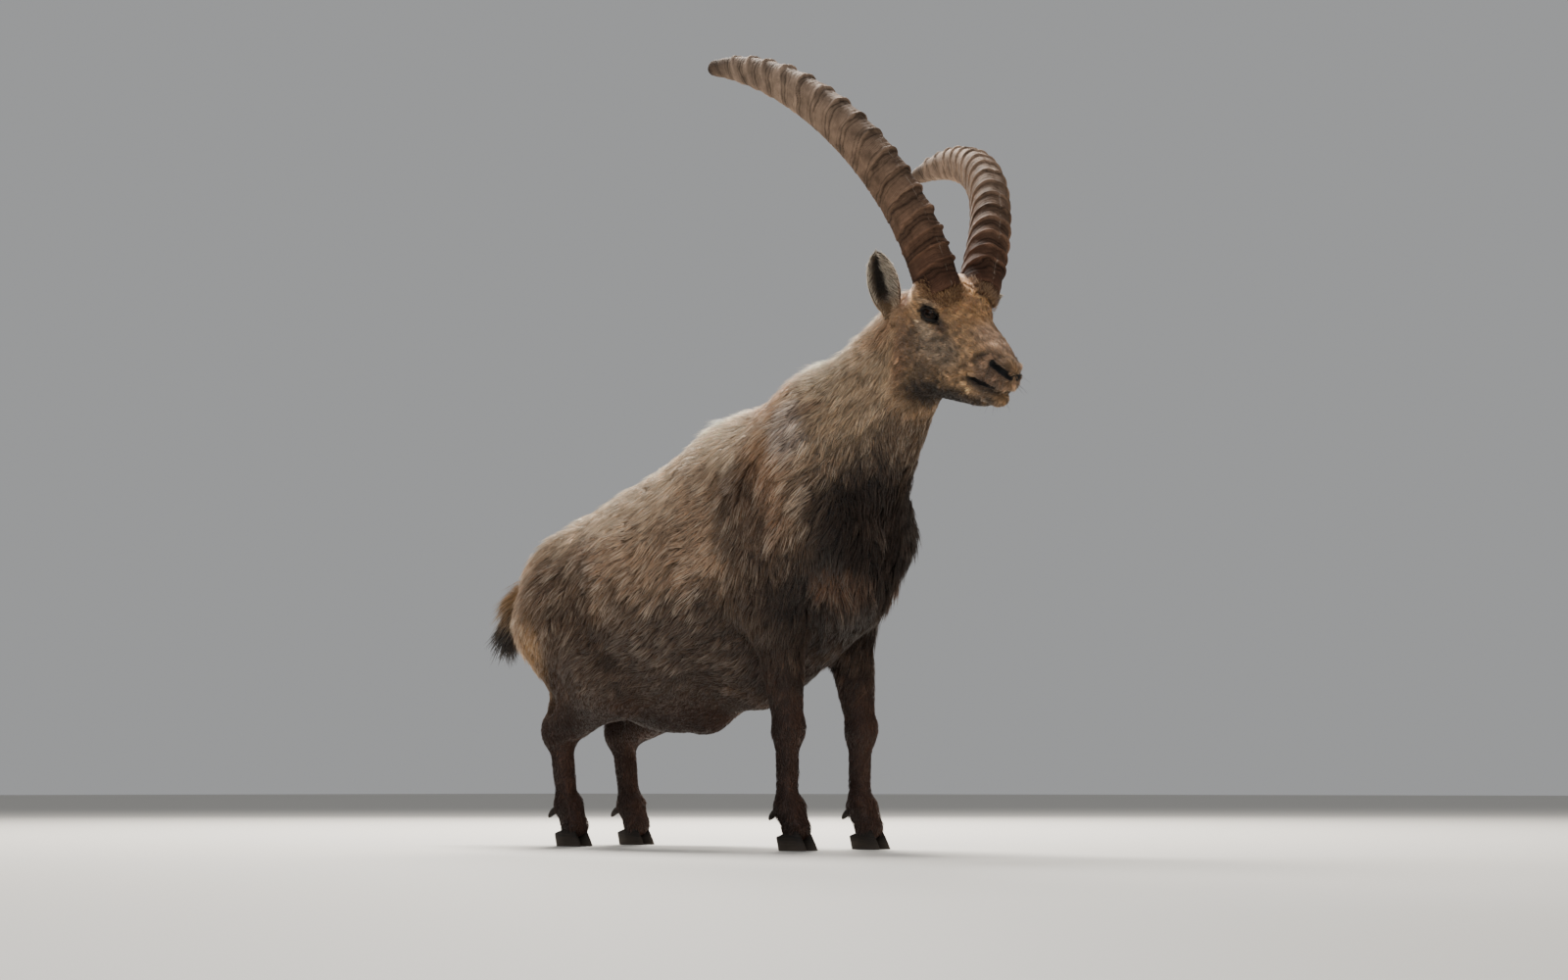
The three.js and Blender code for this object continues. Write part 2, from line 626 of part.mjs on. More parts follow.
function nostril(side) {
  const marks = [[186, side * 8, -16], [176, side * 17, -11], [163, side * 25, -9], [150, side * 28, -10]];
  const points = marks.map((p) => landOn(shapes, placeIn(head, p)));
  return bar(points, [2.6, 5.4, 5, 1.8], 6);
}

// Hooves: two claws to a foot, each on a flat sole
const solePlan = [
  [-27, 0], [-23, 8], [-12, 12], [4, 12.5], [18, 10.5], [29, 6], [34, 0],
  [30, -4.5], [18, -8.5], [4, -10], [-12, -10], [-23, -7],
];
const coronet = (x) => 33 + x * 0.28; // height of the horn's upper edge above a point of the sole
const coronetWay = unit([-0.28, 0, 1]);

function claw(foot, outward) {
  const [x, y] = foot;
  const at = (reach, rise) => solePlan.map(([a, b]) => {
    const px = a * reach - (1 - reach) * 8 - rise * 9;
    return [x + 16 + px, y + outward * (15 + b * (1 - 0.1 * rise)), rise * coronet(px) - (rise === 1 ? gap : 0)];
  });
  return loft([at(1, 0), at(0.97, 0.5), at(0.84, 1)]);
}

const footOf = (x, y) => ({ at: [x + 16, y, coronet(0)], to: coronetWay });

function dewclaw(foot, outward, extra = 0) {
  const [x, y] = foot;
  const points = [[x - 12, y + outward * 12, 72], [x - 24, y + outward * 15, 64], [x - 34, y + outward * 17, 53]];
  return bar(points, [7 + extra, 7.5 + extra, 4 + extra], 8);
}

// Legs, from box regions on either side of slanted cuts
const limbs = [
  { name: "front_right", side: -1, foot: foreFeet.right, fore: true },
  { name: "front_left", side: 1, foot: foreFeet.left, fore: true },
  { name: "hind_right", side: -1, foot: hindFeet.right, fore: false },
  { name: "hind_left", side: 1, foot: hindFeet.left, fore: false },
];

function limbCut(limb) {
  if (limb.fore) return { at: [-30, limb.side * 62, 384], to: unit([0.1, limb.side * 0.75, -1]) };
  return { at: [-520, limb.side * 56, 420], to: unit([-0.1, limb.side * 0.9, -1]) };
}

// The fold of skin where the thigh meets the flank
const thighFront = { at: [-424, 0, 430], to: unit([-0.93, 0, -0.37]) };

function limbRegion(limb, grow) {
  const [x] = limb.foot;
  const [back, front] = limb.fore ? [x - 118, x + 112] : [-790, -330];
  const top = limb.fore ? 470 : 560;
  const inside = limb.side * (6 - grow);
  const outside = limb.side * 320;
  const lo = [back - grow, Math.min(inside, outside), -50];
  const hi = [front + grow, Math.max(inside, outside), top + grow];
  const cut = limbCut(limb);
  const region = block(lo, hi).intersect(beyond(cut.at, cut.to, -grow));
  return limb.fore ? region : region.intersect(beyond(thighFront.at, thighFront.to, -grow));
}

function limbParts(limb) {
  const [x, y] = limb.foot;
  const cut = limb.fore ? kneeCut : hockCut;
  const upperBox = limb.fore
    ? whole([x - 170, limb.side < 0 ? -240 : -40, 150], [x + 170, limb.side < 0 ? 40 : 240, 520], [20, 18, 22])
    : whole([-840, limb.side < 0 ? -280 : -40, 160], [-330, limb.side < 0 ? 40 : 280, 620], [31, 27, 31]);
  const upper = upperBox.intersect(limbRegion(limb, -gap / 2)).intersect(beyond([0, 0, cut], [0, 0, 1], gap / 2));
  const lowerBox = whole([x - 75, y - 45, -20], [x + 60, y + 45, cut + 40], [14, 14, 24]);
  const foot = footOf(x, y);
  let lower = lowerBox
    .intersect(beyond([0, 0, cut], [0, 0, -1], gap / 2))
    .intersect(beyond(foot.at, foot.to, gap / 2));
  [-1, 1].forEach((way) => {
    lower = lower.subtract(dewclaw(limb.foot, way, gap));
  });
  return { upper, lower };
}

// Locks of long hair: flat tapered blades that bend along the lie of the coat
function seeded(seed) {
  let state = seed;
  return (low, high) => {
    state = (state * 1664525 + 1013904223) % 4294967296;
    return low + ((high - low) * state) / 4294967296;
  };
}

const lockRoot = 11; // how deep a root is sunk
const lockWidth = 17;
const lockThickness = 6;

// The blade starts under the surface at root, runs along, and bends towards the direction of the droop
function lock(root, outward, along, droop, length, size) {
  const rings = [0, 0.5, 0.99].map((t) => {
    const way = unit(mix(along, droop, t));
    const rise = -lockRoot * (1 - t) ** 2 + 5 * Math.sin(Math.PI * t);
    const centre = add(add(root, scale(way, length * t)), scale(outward, rise));
    const across = unit(cross(way, outward));
    const thin = cross(across, way);
    const taper = [0.85, 1, 0.1][Math.round(t * 2)];
    const wide = (size * lockWidth * taper) / 2;
    const deep = (size * lockThickness * taper) / 2;
    return [scale(across, wide), scale(thin, deep), scale(across, -wide), scale(thin, -deep)].map((v) => add(centre, v));
  });
  return loft(rings);
}

const down = [0, 0, -1];

function withLocks(solid, locks) {
  return locks.reduce((sum, one) => sum.add(one), solid);
}

function tailLocks() {
  const random = seeded(11);
  const count = 12;
  return Array.from({ length: count }, (_, i) => {
    const turn = 2.4 * i;
    const t = (i + 0.5) / count;
    const along = t < 0.5
      ? mix([-738, -8, 488], [-764, -16, 452], t * 2)
      : mix([-764, -16, 452], [-785, -25, 408], t * 2 - 1);
    const outward = unit([-Math.abs(Math.cos(turn)) * 0.7 - 0.1, Math.sin(turn), 0.1]);
    const root = landOn(tailOnly, add(along, scale(outward, 20)));
    const start = unit(add(scale(outward, 0.35), [-0.35, random(-0.15, 0.15), -0.9]));
    const end = unit([random(-0.45, 0), random(-0.16, 0.16), -1]);
    return lock(root, outward, start, end, random(88, 106) + 8 * t, random(1.1, 1.35));
  });
}

function beardLocks() {
  const random = seeded(23);
  return Array.from({ length: 9 }, (_, i) => {
    const side = ((i % 3) - 1) * 8;
    const root = landOn(shapes, placeIn(head, [92 + 13 * Math.floor(i / 3), side, -104]));
    const outward = inHead([0.2, side * 0.02, -1]);
    const end = unit([-0.35, random(-0.15, 0.15), -1]);
    return lock(root, outward, unit(add(outward, [-0.4, 0, -0.3])), end, random(9, 14), 0.8);
  });
}

// The crest runs down the nape and over the withers
function crestLocks(from, to, count, seed) {
  const random = seeded(seed);
  return Array.from({ length: count }, (_, i) => {
    const t = (i + 0.5) / count;
    const p = add(mix(from, to, t), [0, 30 * ((i % 3) - 1) + random(-8, 8), 30]);
    const root = landOn(shapes, p);
    const outward = unit(slope(shapes, root));
    const back = unit(sub(to, from));
    const flat = unit(sub(back, scale(outward, dot(back, outward))));
    const start = unit(add(flat, scale(outward, random(0.3, 0.5))));
    return lock(root, outward, start, unit(add(flat, scale(down, 0.15))), random(50, 66), random(0.85, 1.1));
  });
}

function hangingLocks(points, each, seed, reach, long = [60, 80]) {
  const random = seeded(seed);
  return points.flatMap((p) => Array.from({ length: each }, () => {
    const root = landOn(shapes, add(p, [random(-14, 14), random(-reach, reach), random(-16, 16)]));
    const outward = unit(slope(shapes, root));
    const fall = unit(sub(down, scale(outward, 0.7 * dot(down, outward))));
    const start = unit(add(fall, scale(outward, 0.3)));
    return lock(root, outward, start, unit(add(fall, [random(-0.25, 0), 0, 0])), random(...long), random(1, 1.3));
  }));
}

const napeTop = placeIn(head, [-150, 0, 10]);
const withersTop = placeIn(trunk, [-40, 0, 790]);
const backTop = placeIn(trunk, [-230, 0, 765]);
const chestFront = [placeIn(trunk, [170, 0, 500]), placeIn(trunk, [160, 0, 440]), placeIn(trunk, [120, 0, 385])];
const sheath = [placeIn(trunk, [-318, 0, 286])];

// The parts
const trunkAll = whole([-860, -300, 200], [330, 300, 960], [48, 40, 48]);
let torso = trunkAll
  .subtract(beyond(neckCut.at, neckCut.to, -gap / 2))
  .subtract(beyond(tailCut.at, tailCut.to, -gap / 2));
for (const limb of limbs) torso = torso.subtract(limbRegion(limb, gap / 2));
const backSide = beyond(neckCut.at, scale(neckCut.to, -1), gap / 2);
const torsoLocks = [
  ...crestLocks(withersTop, backTop, 9, 31),
  ...hangingLocks(chestFront, 2, 37, 45),
  ...hangingLocks(sheath, 3, 41, 12, [24, 32]),
];
node("torso", withLocks(torso, torsoLocks.map((one) => one.intersect(backSide))), coat);

const neckSide = beyond(neckCut.at, neckCut.to, gap / 2).subtract(beyond(headCut.at, headCut.to, -gap / 2));
const neck = whole([-160, -300, 440], [420, 280, 1080], [37, 34, 37]);
node("neck", withLocks(neck, crestLocks(napeTop, withersTop, 14, 29))
  .intersect(neckSide)
  .subtract(earSocket(-1))
  .subtract(earSocket(1)), coat);

node("tail", withLocks(solidOf(surfaceOf(tailOnly, [-880, -60, 380], [-600, 60, 620], [20, 17, 24])), tailLocks())
  .intersect(beyond(tailCut.at, tailCut.to, gap / 2)), coat);

let headSolid = whole([150, -200, 690], [540, 160, 1060], [18, 17, 17]).intersect(beyond(headCut.at, headCut.to, gap / 2));
bothSides((side) => {
  headSolid = headSolid.subtract(hornSocket(side)).subtract(earSocket(side));
  headSolid = headSolid.subtract(eyeBowl(side)).add(lidSolid(side, true)).add(lidSolid(side, false));
  headSolid = headSolid.subtract(eyeSolid(side, eyeRadius + gap)).subtract(nostril(side));
});
headSolid = withLocks(headSolid.subtract(mouthGroove()), beardLocks());
node("head", headSolid, coat);

bothSides((side) => {
  const name = side < 0 ? "right" : "left";
  node(`horn_${name}`, hornSolid(side), hornRind);
  node(`ear_${name}`, earSolid(side), earSkin);
  node(`eye_${name}`, eyeSolid(side, eyeRadius), eyeGloss);
});

for (const limb of limbs) {
  const { upper, lower } = limbParts(limb);
  node(`leg_${limb.name}_upper`, upper, coat);
  node(`leg_${limb.name}_lower`, lower, darkCoat);
  for (const [way, where] of [[limb.side, "outer"], [-limb.side, "inner"]]) {
    node(`hoof_${limb.name}_${where}`, claw(limb.foot, way), hoofRind);
    node(`dewclaw_${limb.name}_${where}`, dewclaw(limb.foot, way), hoofRind);
  }
}

export default ibex;
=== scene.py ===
# Alpine ibex, adult male: skin, coat, horns, eyes, ears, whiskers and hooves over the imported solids.
# The shapes are worked out in millimetres, in the body's own place, and moved into the frame at the end.
import math
import bmesh
import bpy
import numpy as np
import openvdb
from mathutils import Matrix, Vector
from mathutils.kdtree import KDTree


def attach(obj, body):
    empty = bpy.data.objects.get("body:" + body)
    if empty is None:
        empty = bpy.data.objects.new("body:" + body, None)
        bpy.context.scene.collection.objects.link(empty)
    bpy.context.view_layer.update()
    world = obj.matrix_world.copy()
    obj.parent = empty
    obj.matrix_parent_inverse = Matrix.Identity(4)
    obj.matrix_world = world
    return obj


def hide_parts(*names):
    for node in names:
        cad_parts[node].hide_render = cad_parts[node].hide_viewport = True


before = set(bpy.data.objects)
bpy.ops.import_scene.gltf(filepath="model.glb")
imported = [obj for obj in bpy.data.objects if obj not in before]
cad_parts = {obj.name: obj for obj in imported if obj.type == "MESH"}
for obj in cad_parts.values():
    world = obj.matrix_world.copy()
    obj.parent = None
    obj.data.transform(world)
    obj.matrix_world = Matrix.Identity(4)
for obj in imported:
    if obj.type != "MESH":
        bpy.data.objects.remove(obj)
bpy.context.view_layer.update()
print("frame loaded")

# the stance: where the trunk, the head and the feet are
stance = {
    "trunkPitch": 17.0,        # degrees that the forehand stands high
    "trunkPivot": (-100, 0, 620),
    "shouldersAt": (-145, 0, 605),
    "headAt": (326, -25, 905),
    "headYaw": -15.2,
    "headPitch": 29.9,
    "headRoll": -3.3,
    "foreFeet": {-1: (0, -90), 1: (26, 84)},
    "hindFeet": {-1: (-550, -88), 1: (-552, 86)},
    "middle": (-177, 97),      # of the whole outline on the ground
}
sides = {-1: "right", 1: "left"}       # the side's sign along Y


def vec(*values):
    return np.array(values, float)


def unit(v):
    v = np.asarray(v, float)
    return v / np.maximum(np.linalg.norm(v, axis=-1, keepdims=True), 1e-9)


# 0 below low, 1 above high, with a soft step between
def smooth(low, high, x):
    t = np.clip((x - low) / (high - low), 0, 1)
    return t * t * (3 - 2 * t)


def turned(origin, yaw, pitchDown, roll, pivot=(0, 0, 0)):
    cy, sy = math.cos(math.radians(yaw)), math.sin(math.radians(yaw))
    cp, sp = math.cos(math.radians(pitchDown)), math.sin(math.radians(pitchDown))
    cr, sr = math.cos(math.radians(roll)), math.sin(math.radians(roll))
    forward = vec(cp * cy, cp * sy, -sp)
    level = vec(-sy, cy, 0)
    straightUp = np.cross(forward, level)
    left = level * cr - straightUp * sr
    up = straightUp * cr + level * sr
    axes = np.array([forward, left, up])
    pivot = vec(*pivot)
    return {"origin": vec(*origin) + pivot - pivot @ axes, "axes": axes}


world = {"origin": vec(0, 0, 0), "axes": np.eye(3)}
pivot = vec(*stance["trunkPivot"])
trunk = turned(vec(*stance["shouldersAt"]) - pivot, 0, -stance["trunkPitch"], 0, pivot)
head = turned(stance["headAt"], stance["headYaw"], stance["headPitch"], stance["headRoll"])


def placeIn(where, p):
    return where["origin"] + np.asarray(p, float) @ where["axes"]


def wayIn(where, v):
    return np.asarray(v, float) @ where["axes"]


def localTo(where, points):
    return (points - where["origin"]) @ where["axes"].T


# a place of the left side, or its twin on the right
def sided(place, side):
    return vec(place[0], side * place[1], place[2])


def toFrame(points):
    moved = np.array(points, float)
    moved[..., 0] -= stance["middle"][0]
    moved[..., 1] -= stance["middle"][1]
    return moved / 1000


# the body's field: rounded cones and ellipsoids with soft joins
shapes = []


def cone(where, a, b, ra, rb, blend=30):
    a, b = placeIn(where, a), placeIn(where, b)
    reach = np.linalg.norm(b - a) / 2 + max(ra, rb)
    shapes.append({"a": a, "b": b, "ra": ra, "rb": rb, "blend": blend, "centre": (a + b) / 2, "reach": reach})


def ball(where, centre, radii, blend=30, nod=0):
    axes = turned((0, 0, 0), 0, nod, 0)["axes"] @ where["axes"]
    centre = placeIn(where, centre)
    shapes.append({"radii": vec(*radii), "axes": axes, "blend": blend, "centre": centre, "reach": max(radii)})


def distanceTo(shape, p):
    if "radii" in shape:
        d = (p - shape["centre"]) @ shape["axes"].T
        k = np.linalg.norm(d / shape["radii"], axis=1)
        g = np.linalg.norm(d / shape["radii"] ** 2, axis=1)
        return np.where(k < 1e-6, -shape["radii"].min(), k * (k - 1) / np.maximum(g, 1e-9))
    ba = shape["b"] - shape["a"]
    pa = p - shape["a"]
    h = np.clip(pa @ ba / (ba @ ba), 0, 1)
    return np.linalg.norm(pa - h[:, None] * ba, axis=1) - (shape["ra"] + (shape["rb"] - shape["ra"]) * h)


def fieldAt(p):
    d = np.full(len(p), 1e3)
    for shape in shapes:
        near = np.linalg.norm(p - shape["centre"], axis=1) - shape["reach"] <= d + shape["blend"]
        if not near.any():
            continue
        here = distanceTo(shape, p[near])
        k = shape["blend"]
        h = np.maximum(k - np.abs(d[near] - here), 0) / k
        d[near] = np.minimum(d[near], here) - h * h * k / 4
    return d


def slopeAt(p, step=0.8):
    g = np.zeros_like(p)
    for axis in range(3):
        move = np.zeros(3)
        move[axis] = step
        g[:, axis] = (fieldAt(p + move) - fieldAt(p - move)) / (2 * step)
    return g


def trunkShapes():
    ball(trunk, (-120, 0, 590), (250, 150, 222), 60)                   # ribs
    ball(trunk, (-332, 0, 534), (250, 184, 244), 60)                   # belly
    ball(trunk, (-506, 0, 614), (152, 130, 146), 60)                   # hips
    cone(trunk, (-62, 0, 724), (-200, 0, 700), 56, 58, 60)             # withers
    cone(trunk, (-200, 0, 694), (-528, 0, 680), 60, 70, 60)            # back
    cone(trunk, (-530, 0, 640), (-574, 0, 614), 80, 58, 50)            # rump
    ball(trunk, (88, 0, 505), (85, 100, 125), 50)                      # chest front
    cone(trunk, (40, 0, 414), (-180, 0, 366), 75, 88, 50)              # breastbone
    ball(trunk, (-322, 0, 306), (42, 26, 28), 30)                      # tuft under the belly
    for side in sides:
        ball(trunk, (20, side * 92, 560), (120, 62, 165), 45, 20)      # shoulder blade
        ball(trunk, (102, side * 84, 515), (62, 48, 72), 40)           # point of the shoulder
        ball(trunk, (-50, side * 90, 455), (80, 50, 85), 40)           # upper arm
        ball(trunk, (-534, side * 80, 578), (120, 68, 156), 50, -12)   # thigh
        ball(trunk, (-584, side * 52, 606), (70, 52, 98), 40)          # buttock


def foreLeg(side):
    x, y = stance["foreFeet"][side]
    shoulder = placeIn(trunk, (-30, side * 98, 470))
    elbow = placeIn(trunk, (-38, side * 98, 392))
    cone(world, shoulder, elbow, 52, 44, 40)
    cone(world, elbow, (x - 4, y, 225), 50, 28, 30)                    # forearm
    ball(world, (x - 2, y, 212), (31, 29, 36), 16)                     # knee
    cone(world, (x - 6, y, 195), (x - 6, y, 95), 23, 21, 16)           # cannon
    ball(world, (x - 2, y, 76), (30, 29, 27), 14)                      # fetlock
    cone(world, (x, y, 72), (x + 14, y, 40), 25, 28, 12)               # pastern


def hindLeg(side):
    x, y = stance["hindFeet"][side]
    hip = placeIn(trunk, (-545, side * 84, 590))
    hock = vec(x - 20, y, 216)
    stifle = hip + vec(152, side * 34, -140)
    cone(world, hip, stifle, 92, 56, 40)
    cone(world, hip + vec(-45, -side * 6, -30), (x + 4, y, 320), 66, 42, 40)
    cone(world, stifle, hock, 62, 34, 40)
    cone(world, (x - 18, y, 320), (x - 42, y, 236), 18, 15, 22)        # tendon above the hock
    ball(world, (x - 24, y, 216), (35, 27, 34), 20)                    # hock
    cone(world, (x - 20, y, 205), (x - 4, y, 98), 25, 22, 16)          # cannon
    ball(world, (x + 2, y, 78), (30, 28, 27), 14)                      # fetlock
    cone(world, (x + 4, y, 74), (x + 18, y, 40), 25, 28, 12)           # pastern


def neckShapes():
    nape = placeIn(head, (-112, 0, -34))
    throat = placeIn(head, (-68, 0, -76))
    cone(world, placeIn(trunk, (4, 0, 636)), placeIn(trunk, (92, 0, 718)), 130, 104, 60)
    cone(world, placeIn(trunk, (66, 0, 684)), nape, 100, 54, 60)
    cone(world, placeIn(trunk, (112, 0, 585)), throat, 100, 60, 60)


hornSeat = (-37, 46, 42)
earSeat = (-113, 64, -22)


def headShapes():
    ball(head, (-48, 0, 10), (78, 62, 62), 26)                         # skull
    ball(head, (-18, 0, 38), (50, 50, 36), 24)                         # forehead
    cone(head, (10, 0, 6), (112, 0, -12), 46, 32, 24)                  # bridge of the nose
    ball(head, (134, 0, -24), (44, 32, 31), 20)                        # muzzle
    ball(head, (159, 0, -38), (25, 28, 21), 14)                        # upper lip
    ball(head, (163, 0, -16), (19, 22, 17), 12)                        # nose
    ball(head, (150, 0, -71), (25, 22, 17), 12)                        # chin
    for side in sides:
        ball(head, (-10, side * 41, 16), (37, 21, 26), 16)             # socket of the eye
        ball(head, (55, side * 24, -26), (66, 28, 36), 24)             # side of the face
        ball(head, (-14, side * 38, -60), (60, 28, 52), 24)            # cheek
        cone(head, (-34, side * 30, -108), (110, side * 12, -83), 31, 20, 20)      # jaw
        cone(head, (60, side * 26, -62), (132, side * 16, -62), 24, 18, 16)        # lower lip
        cone(head, (-50, side * 34, 28), sided(hornSeat, side), 38, 37, 20)
        cone(head, (-88, side * 46, -20), sided(earSeat, side), 26, 17, 12)


def tailShapes():
    cone(world, (-596, 0, 540), (-700, 0, 526), 44, 29, 30)
    cone(world, (-702, 0, 525), (-756, -12, 470), 27, 21, 16)
    cone(world, (-756, -12, 470), (-786, -26, 404), 21, 13, 16)


trunkShapes()
for side in sides:
    foreLeg(side)
    hindLeg(side)
neckShapes()
headShapes()
tailShapes()


# smooth noise from a few seeded sine waves, about -1 to 1
def waves(p, size, seed, count=7):
    rng = np.random.default_rng(seed)
    total = np.zeros(len(p))
    for _ in range(count):
        way = unit(rng.normal(size=3)) * rng.uniform(0.6, 1.6) * 2 * math.pi / size
        total += np.sin(p @ way + rng.uniform(0, 2 * math.pi))
    return total / math.sqrt(count)


# how far a point belongs to the head, 0 to 1
def onHead(p):
    q = localTo(head, p)
    along = (q[:, 0] + 124 + 0.5 * (q[:, 2] + 30)) / math.sqrt(1.25)
    return smooth(0, 60, along) * smooth(-190, -140, q[:, 2])


# how far a point is up the neck from the shoulders, 0 to 1
def onNeck(p):
    along = (p - placeIn(trunk, (70, 0, 690))) @ vec(0.74, 0, 0.67)
    return smooth(0, 110, along)


# how far a point is down a leg, 0 to 1
def lowOnLeg(p):
    return 1 - smooth(250, 400, p[:, 2])


# how deep the coat is, so that the skin lies that far inside the solids
coatDepth = {"trunk": 12.0, "neck": 13.0, "face": 3.0, "thigh": 8.0, "leg": 3.5, "tail": 7.0}


def depthAt(p):
    depth = np.full(len(p), coatDepth["trunk"])
    for weight, part in ((onNeck(p), "neck"), (onHead(p), "face")):
        depth += weight * (coatDepth[part] - depth)
    thigh = 1 - smooth(380, 520, p[:, 2])
    belly = smooth(-420, -300, p[:, 0]) * (1 - smooth(90, 150, p[:, 0]))
    depth += thigh * (1 - 0.6 * belly) * (coatDepth["thigh"] - depth)
    depth += lowOnLeg(p) * (coatDepth["leg"] - depth)
    depth += smooth(-690, -720, p[:, 0]) * (coatDepth["tail"] - depth)
    return depth


# the skin: one closed mesh over the whole animal, finer on the face
skinSizes = {
    "cell": 8.0,
    "low": (-840, -230, 20),
    "high": (560, 220, 1080),
    "band": 30.0,              # how far from the skin the grid holds true distances
    "faceFrom": -100,          # in the head, where the finer mesh starts
    "faceMiddle": (40, 0, -20),
    "faceReach": 200,
}


def skinBase():
    cell, band = skinSizes["cell"], skinSizes["band"]
    low, high = vec(*skinSizes["low"]), vec(*skinSizes["high"])
    count = ((high - low) / cell).astype(int) + 1
    axes = [low[i] + cell * np.arange(count[i]) for i in range(3)]
    grid = np.stack(np.meshgrid(*axes, indexing="ij"), axis=-1).reshape(-1, 3)
    inside = fieldAt(grid)
    close = np.abs(inside) < band + 10
    inside[close] += depthAt(grid[close])
    volume = openvdb.FloatGrid(background=band)
    volume.copyFromArray(np.clip(inside, -band, band).reshape(count).astype(np.float32))
    points, quads = volume.convertToQuads(0.0)
    return low + points * cell, quads


# moves points onto the skin, down the slope of the field
def settle(p, rounds=3):
    for _ in range(rounds):
        g = slopeAt(p)
        off = fieldAt(p) + depthAt(p)
        p = p - g * (off / np.maximum(0.3, (g * g).sum(axis=1)))[:, None]
    return p


def coordinatesOf(mesh):
    flat = np.empty(len(mesh.vertices) * 3)
    mesh.vertices.foreach_get("co", flat)
    return flat.reshape(-1, 3)


def linkPiece(name, mesh):
    piece = bpy.data.objects.new(name, mesh)
    bpy.context.collection.objects.link(piece)
    return piece


def splitWhere(work, wanted, cuts):
    faces = [f for f in work.faces if wanted(f)]
    edges = list({e for f in faces for e in f.edges})
    bmesh.ops.subdivide_edges(work, edges=edges, cuts=cuts, use_grid_fill=True)
    return len(faces)


# the face: places in the head, for the left side
face = {
    "eyeAt": (-15, 50, 12),
    "eyeRadius": 17.5,
    "lidUp": 0.46,                 # how far each lid opens, in radians
    "lidDown": 0.36,
    "lidHalf": 1.16,
    "lidRim": 2.2,
    "lidSunk": 1.6,                # how far the skin lies inside the globe between the lids
    "mouth": ((109, 40, -50), (122, 37, -51), (137, 33, -52), (152, 27, -52), (166, 20, -51), (180, 0, -49)),
    "mouthDepth": 3.2,
    "nostril": ((184, 8, -22), (178, 16, -18), (165, 24, -14), (150, 28, -11)),
    "nostrilDepth": 5.6,
    "pad": ((90, 46, -45), (103, 44, -34), (114, 40, -22), (126, 33, -6), (137, 27, 0)),
    "padDepth": 3.0,
    "tearDuct": ((12, 55, 6), (20, 51, 1), (29, 46, -6)),
    "cheekbone": ((14, 54, -14), (44, 48, -30), (76, 40, -42)),
    "brow": ((-34, 62, 28), (-10, 68, 36), (14, 56, 34)),
    "noseFold": ((146, 30, 4), (160, 24, 6), (172, 14, 2)),
    "lipGroove": ((187, 0, -22), (184, 0, -36), (178, 0, -50)),
    "cheekCreases": 4,
}
# folds round the eye: how far past the lids above and below, how deep above and below, and the width
lidFolds = ((6.0, 7.5, 1.5, 0.9, 1.5), (10.5, 12.0, 0.6, 0.6, 1.6))


def mirrored(line, side):
    return vec(*[(x, side * y, z) for x, y, z in line])


def landed(points):
    return localTo(head, settle(placeIn(head, points), 4))


# distance from points to a line of segments, and how far along it the nearest place lies
def nearLine(q, line):
    best = np.full(len(q), 1e9)
    along = np.zeros(len(q))
    for i in range(len(line) - 1):
        ba = line[i + 1] - line[i]
        h = np.clip((q - line[i]) @ ba / (ba @ ba), 0, 1)
        d = np.linalg.norm(q - line[i] - h[:, None] * ba, axis=1)
        closer = d < best
        best[closer] = d[closer]
        along[closer] = (i + h[closer]) / (len(line) - 1)
    return best, along


def swell(distance, width):
    return np.exp(-(distance / width) ** 2)


def eyeAxes(side):
    outward = unit(vec(0.42, side * 0.9, 0.08))
    ahead = unit(vec(0.9, -side * 0.42, 0.02))
    ahead = unit(ahead - outward * (ahead @ outward))
    above = np.cross(ahead, outward) * side
    return ahead, above, outward


# how far outside the opening between the lids a point is, in millimetres, negative inside,
# then how far it faces outwards, its distance from the eye's centre and its turn above the middle
def pastLids(q, side):
    d = q - sided(face["eyeAt"], side)
    far = np.linalg.norm(d, axis=1)
    ahead, above, outward = eyeAxes(side)
    a = np.arcsin(np.clip(d @ ahead / far, -1, 1))
    b = np.arcsin(np.clip(d @ above / far, -1, 1))
    b = b + 0.12 * a
    out = d @ outward / far
    half = face["lidHalf"] * np.where(a > 0, 1.12, 0.95)
    lean = np.clip(1 - (a / half) ** 2, 0, 1)
    opening = np.where(b > 0, face["lidUp"], face["lidDown"]) * lean ** 0.8
    beyond = np.maximum(np.abs(a) - half, 0)
    past = np.hypot(np.maximum(np.abs(b) - opening, 0), beyond)
    past = np.where(np.abs(b) < opening, np.abs(b) - opening, past)
    return past * face["eyeRadius"], out, far, b


def sculptEye(q, side):
    past, out, far, b = pastLids(q, side)
    radius = face["eyeRadius"]
    rim = radius + face["lidRim"] * (1 + 0.25 * (b > 0))
    sunk = radius - face["lidSunk"]
    target = np.where(past < 0, sunk + (rim - sunk) * smooth(-0.9, 0.5, past), rim)
    hold = (1 - smooth(3.5, 11.0, past)) * smooth(0.12, 0.4, out)
    fold = np.zeros(len(q))
    for above, below, deepAbove, deepBelow, width in lidFolds:
        deep = np.where(b > 0, deepAbove, deepBelow)
        fold += deep * swell(past - np.where(b > 0, above, below), width) * smooth(0.2, 0.5, out)
    centre = sided(face["eyeAt"], side)
    way = (q - centre) / far[:, None]
    wanted = far + hold * (target - far) - fold
    return centre + way * wanted[:, None]


def mouthMove(q, side):
    mouth = landed(mirrored(face["mouth"], side))
    d, along = nearLine(q, mouth)
    above = (q - mouth[3]) @ vec(0.1, 0, 1)
    groove = face["mouthDepth"] * smooth(-0.02, 0.12, along) * swell(d, 2.0)
    lip = swell(d - 5.5, 3.2) * smooth(0.05, 0.3, along) * np.where(above > 0, 0.9, 1.3)
    return (lip - groove) * (q[:, 1] * side >= -1)


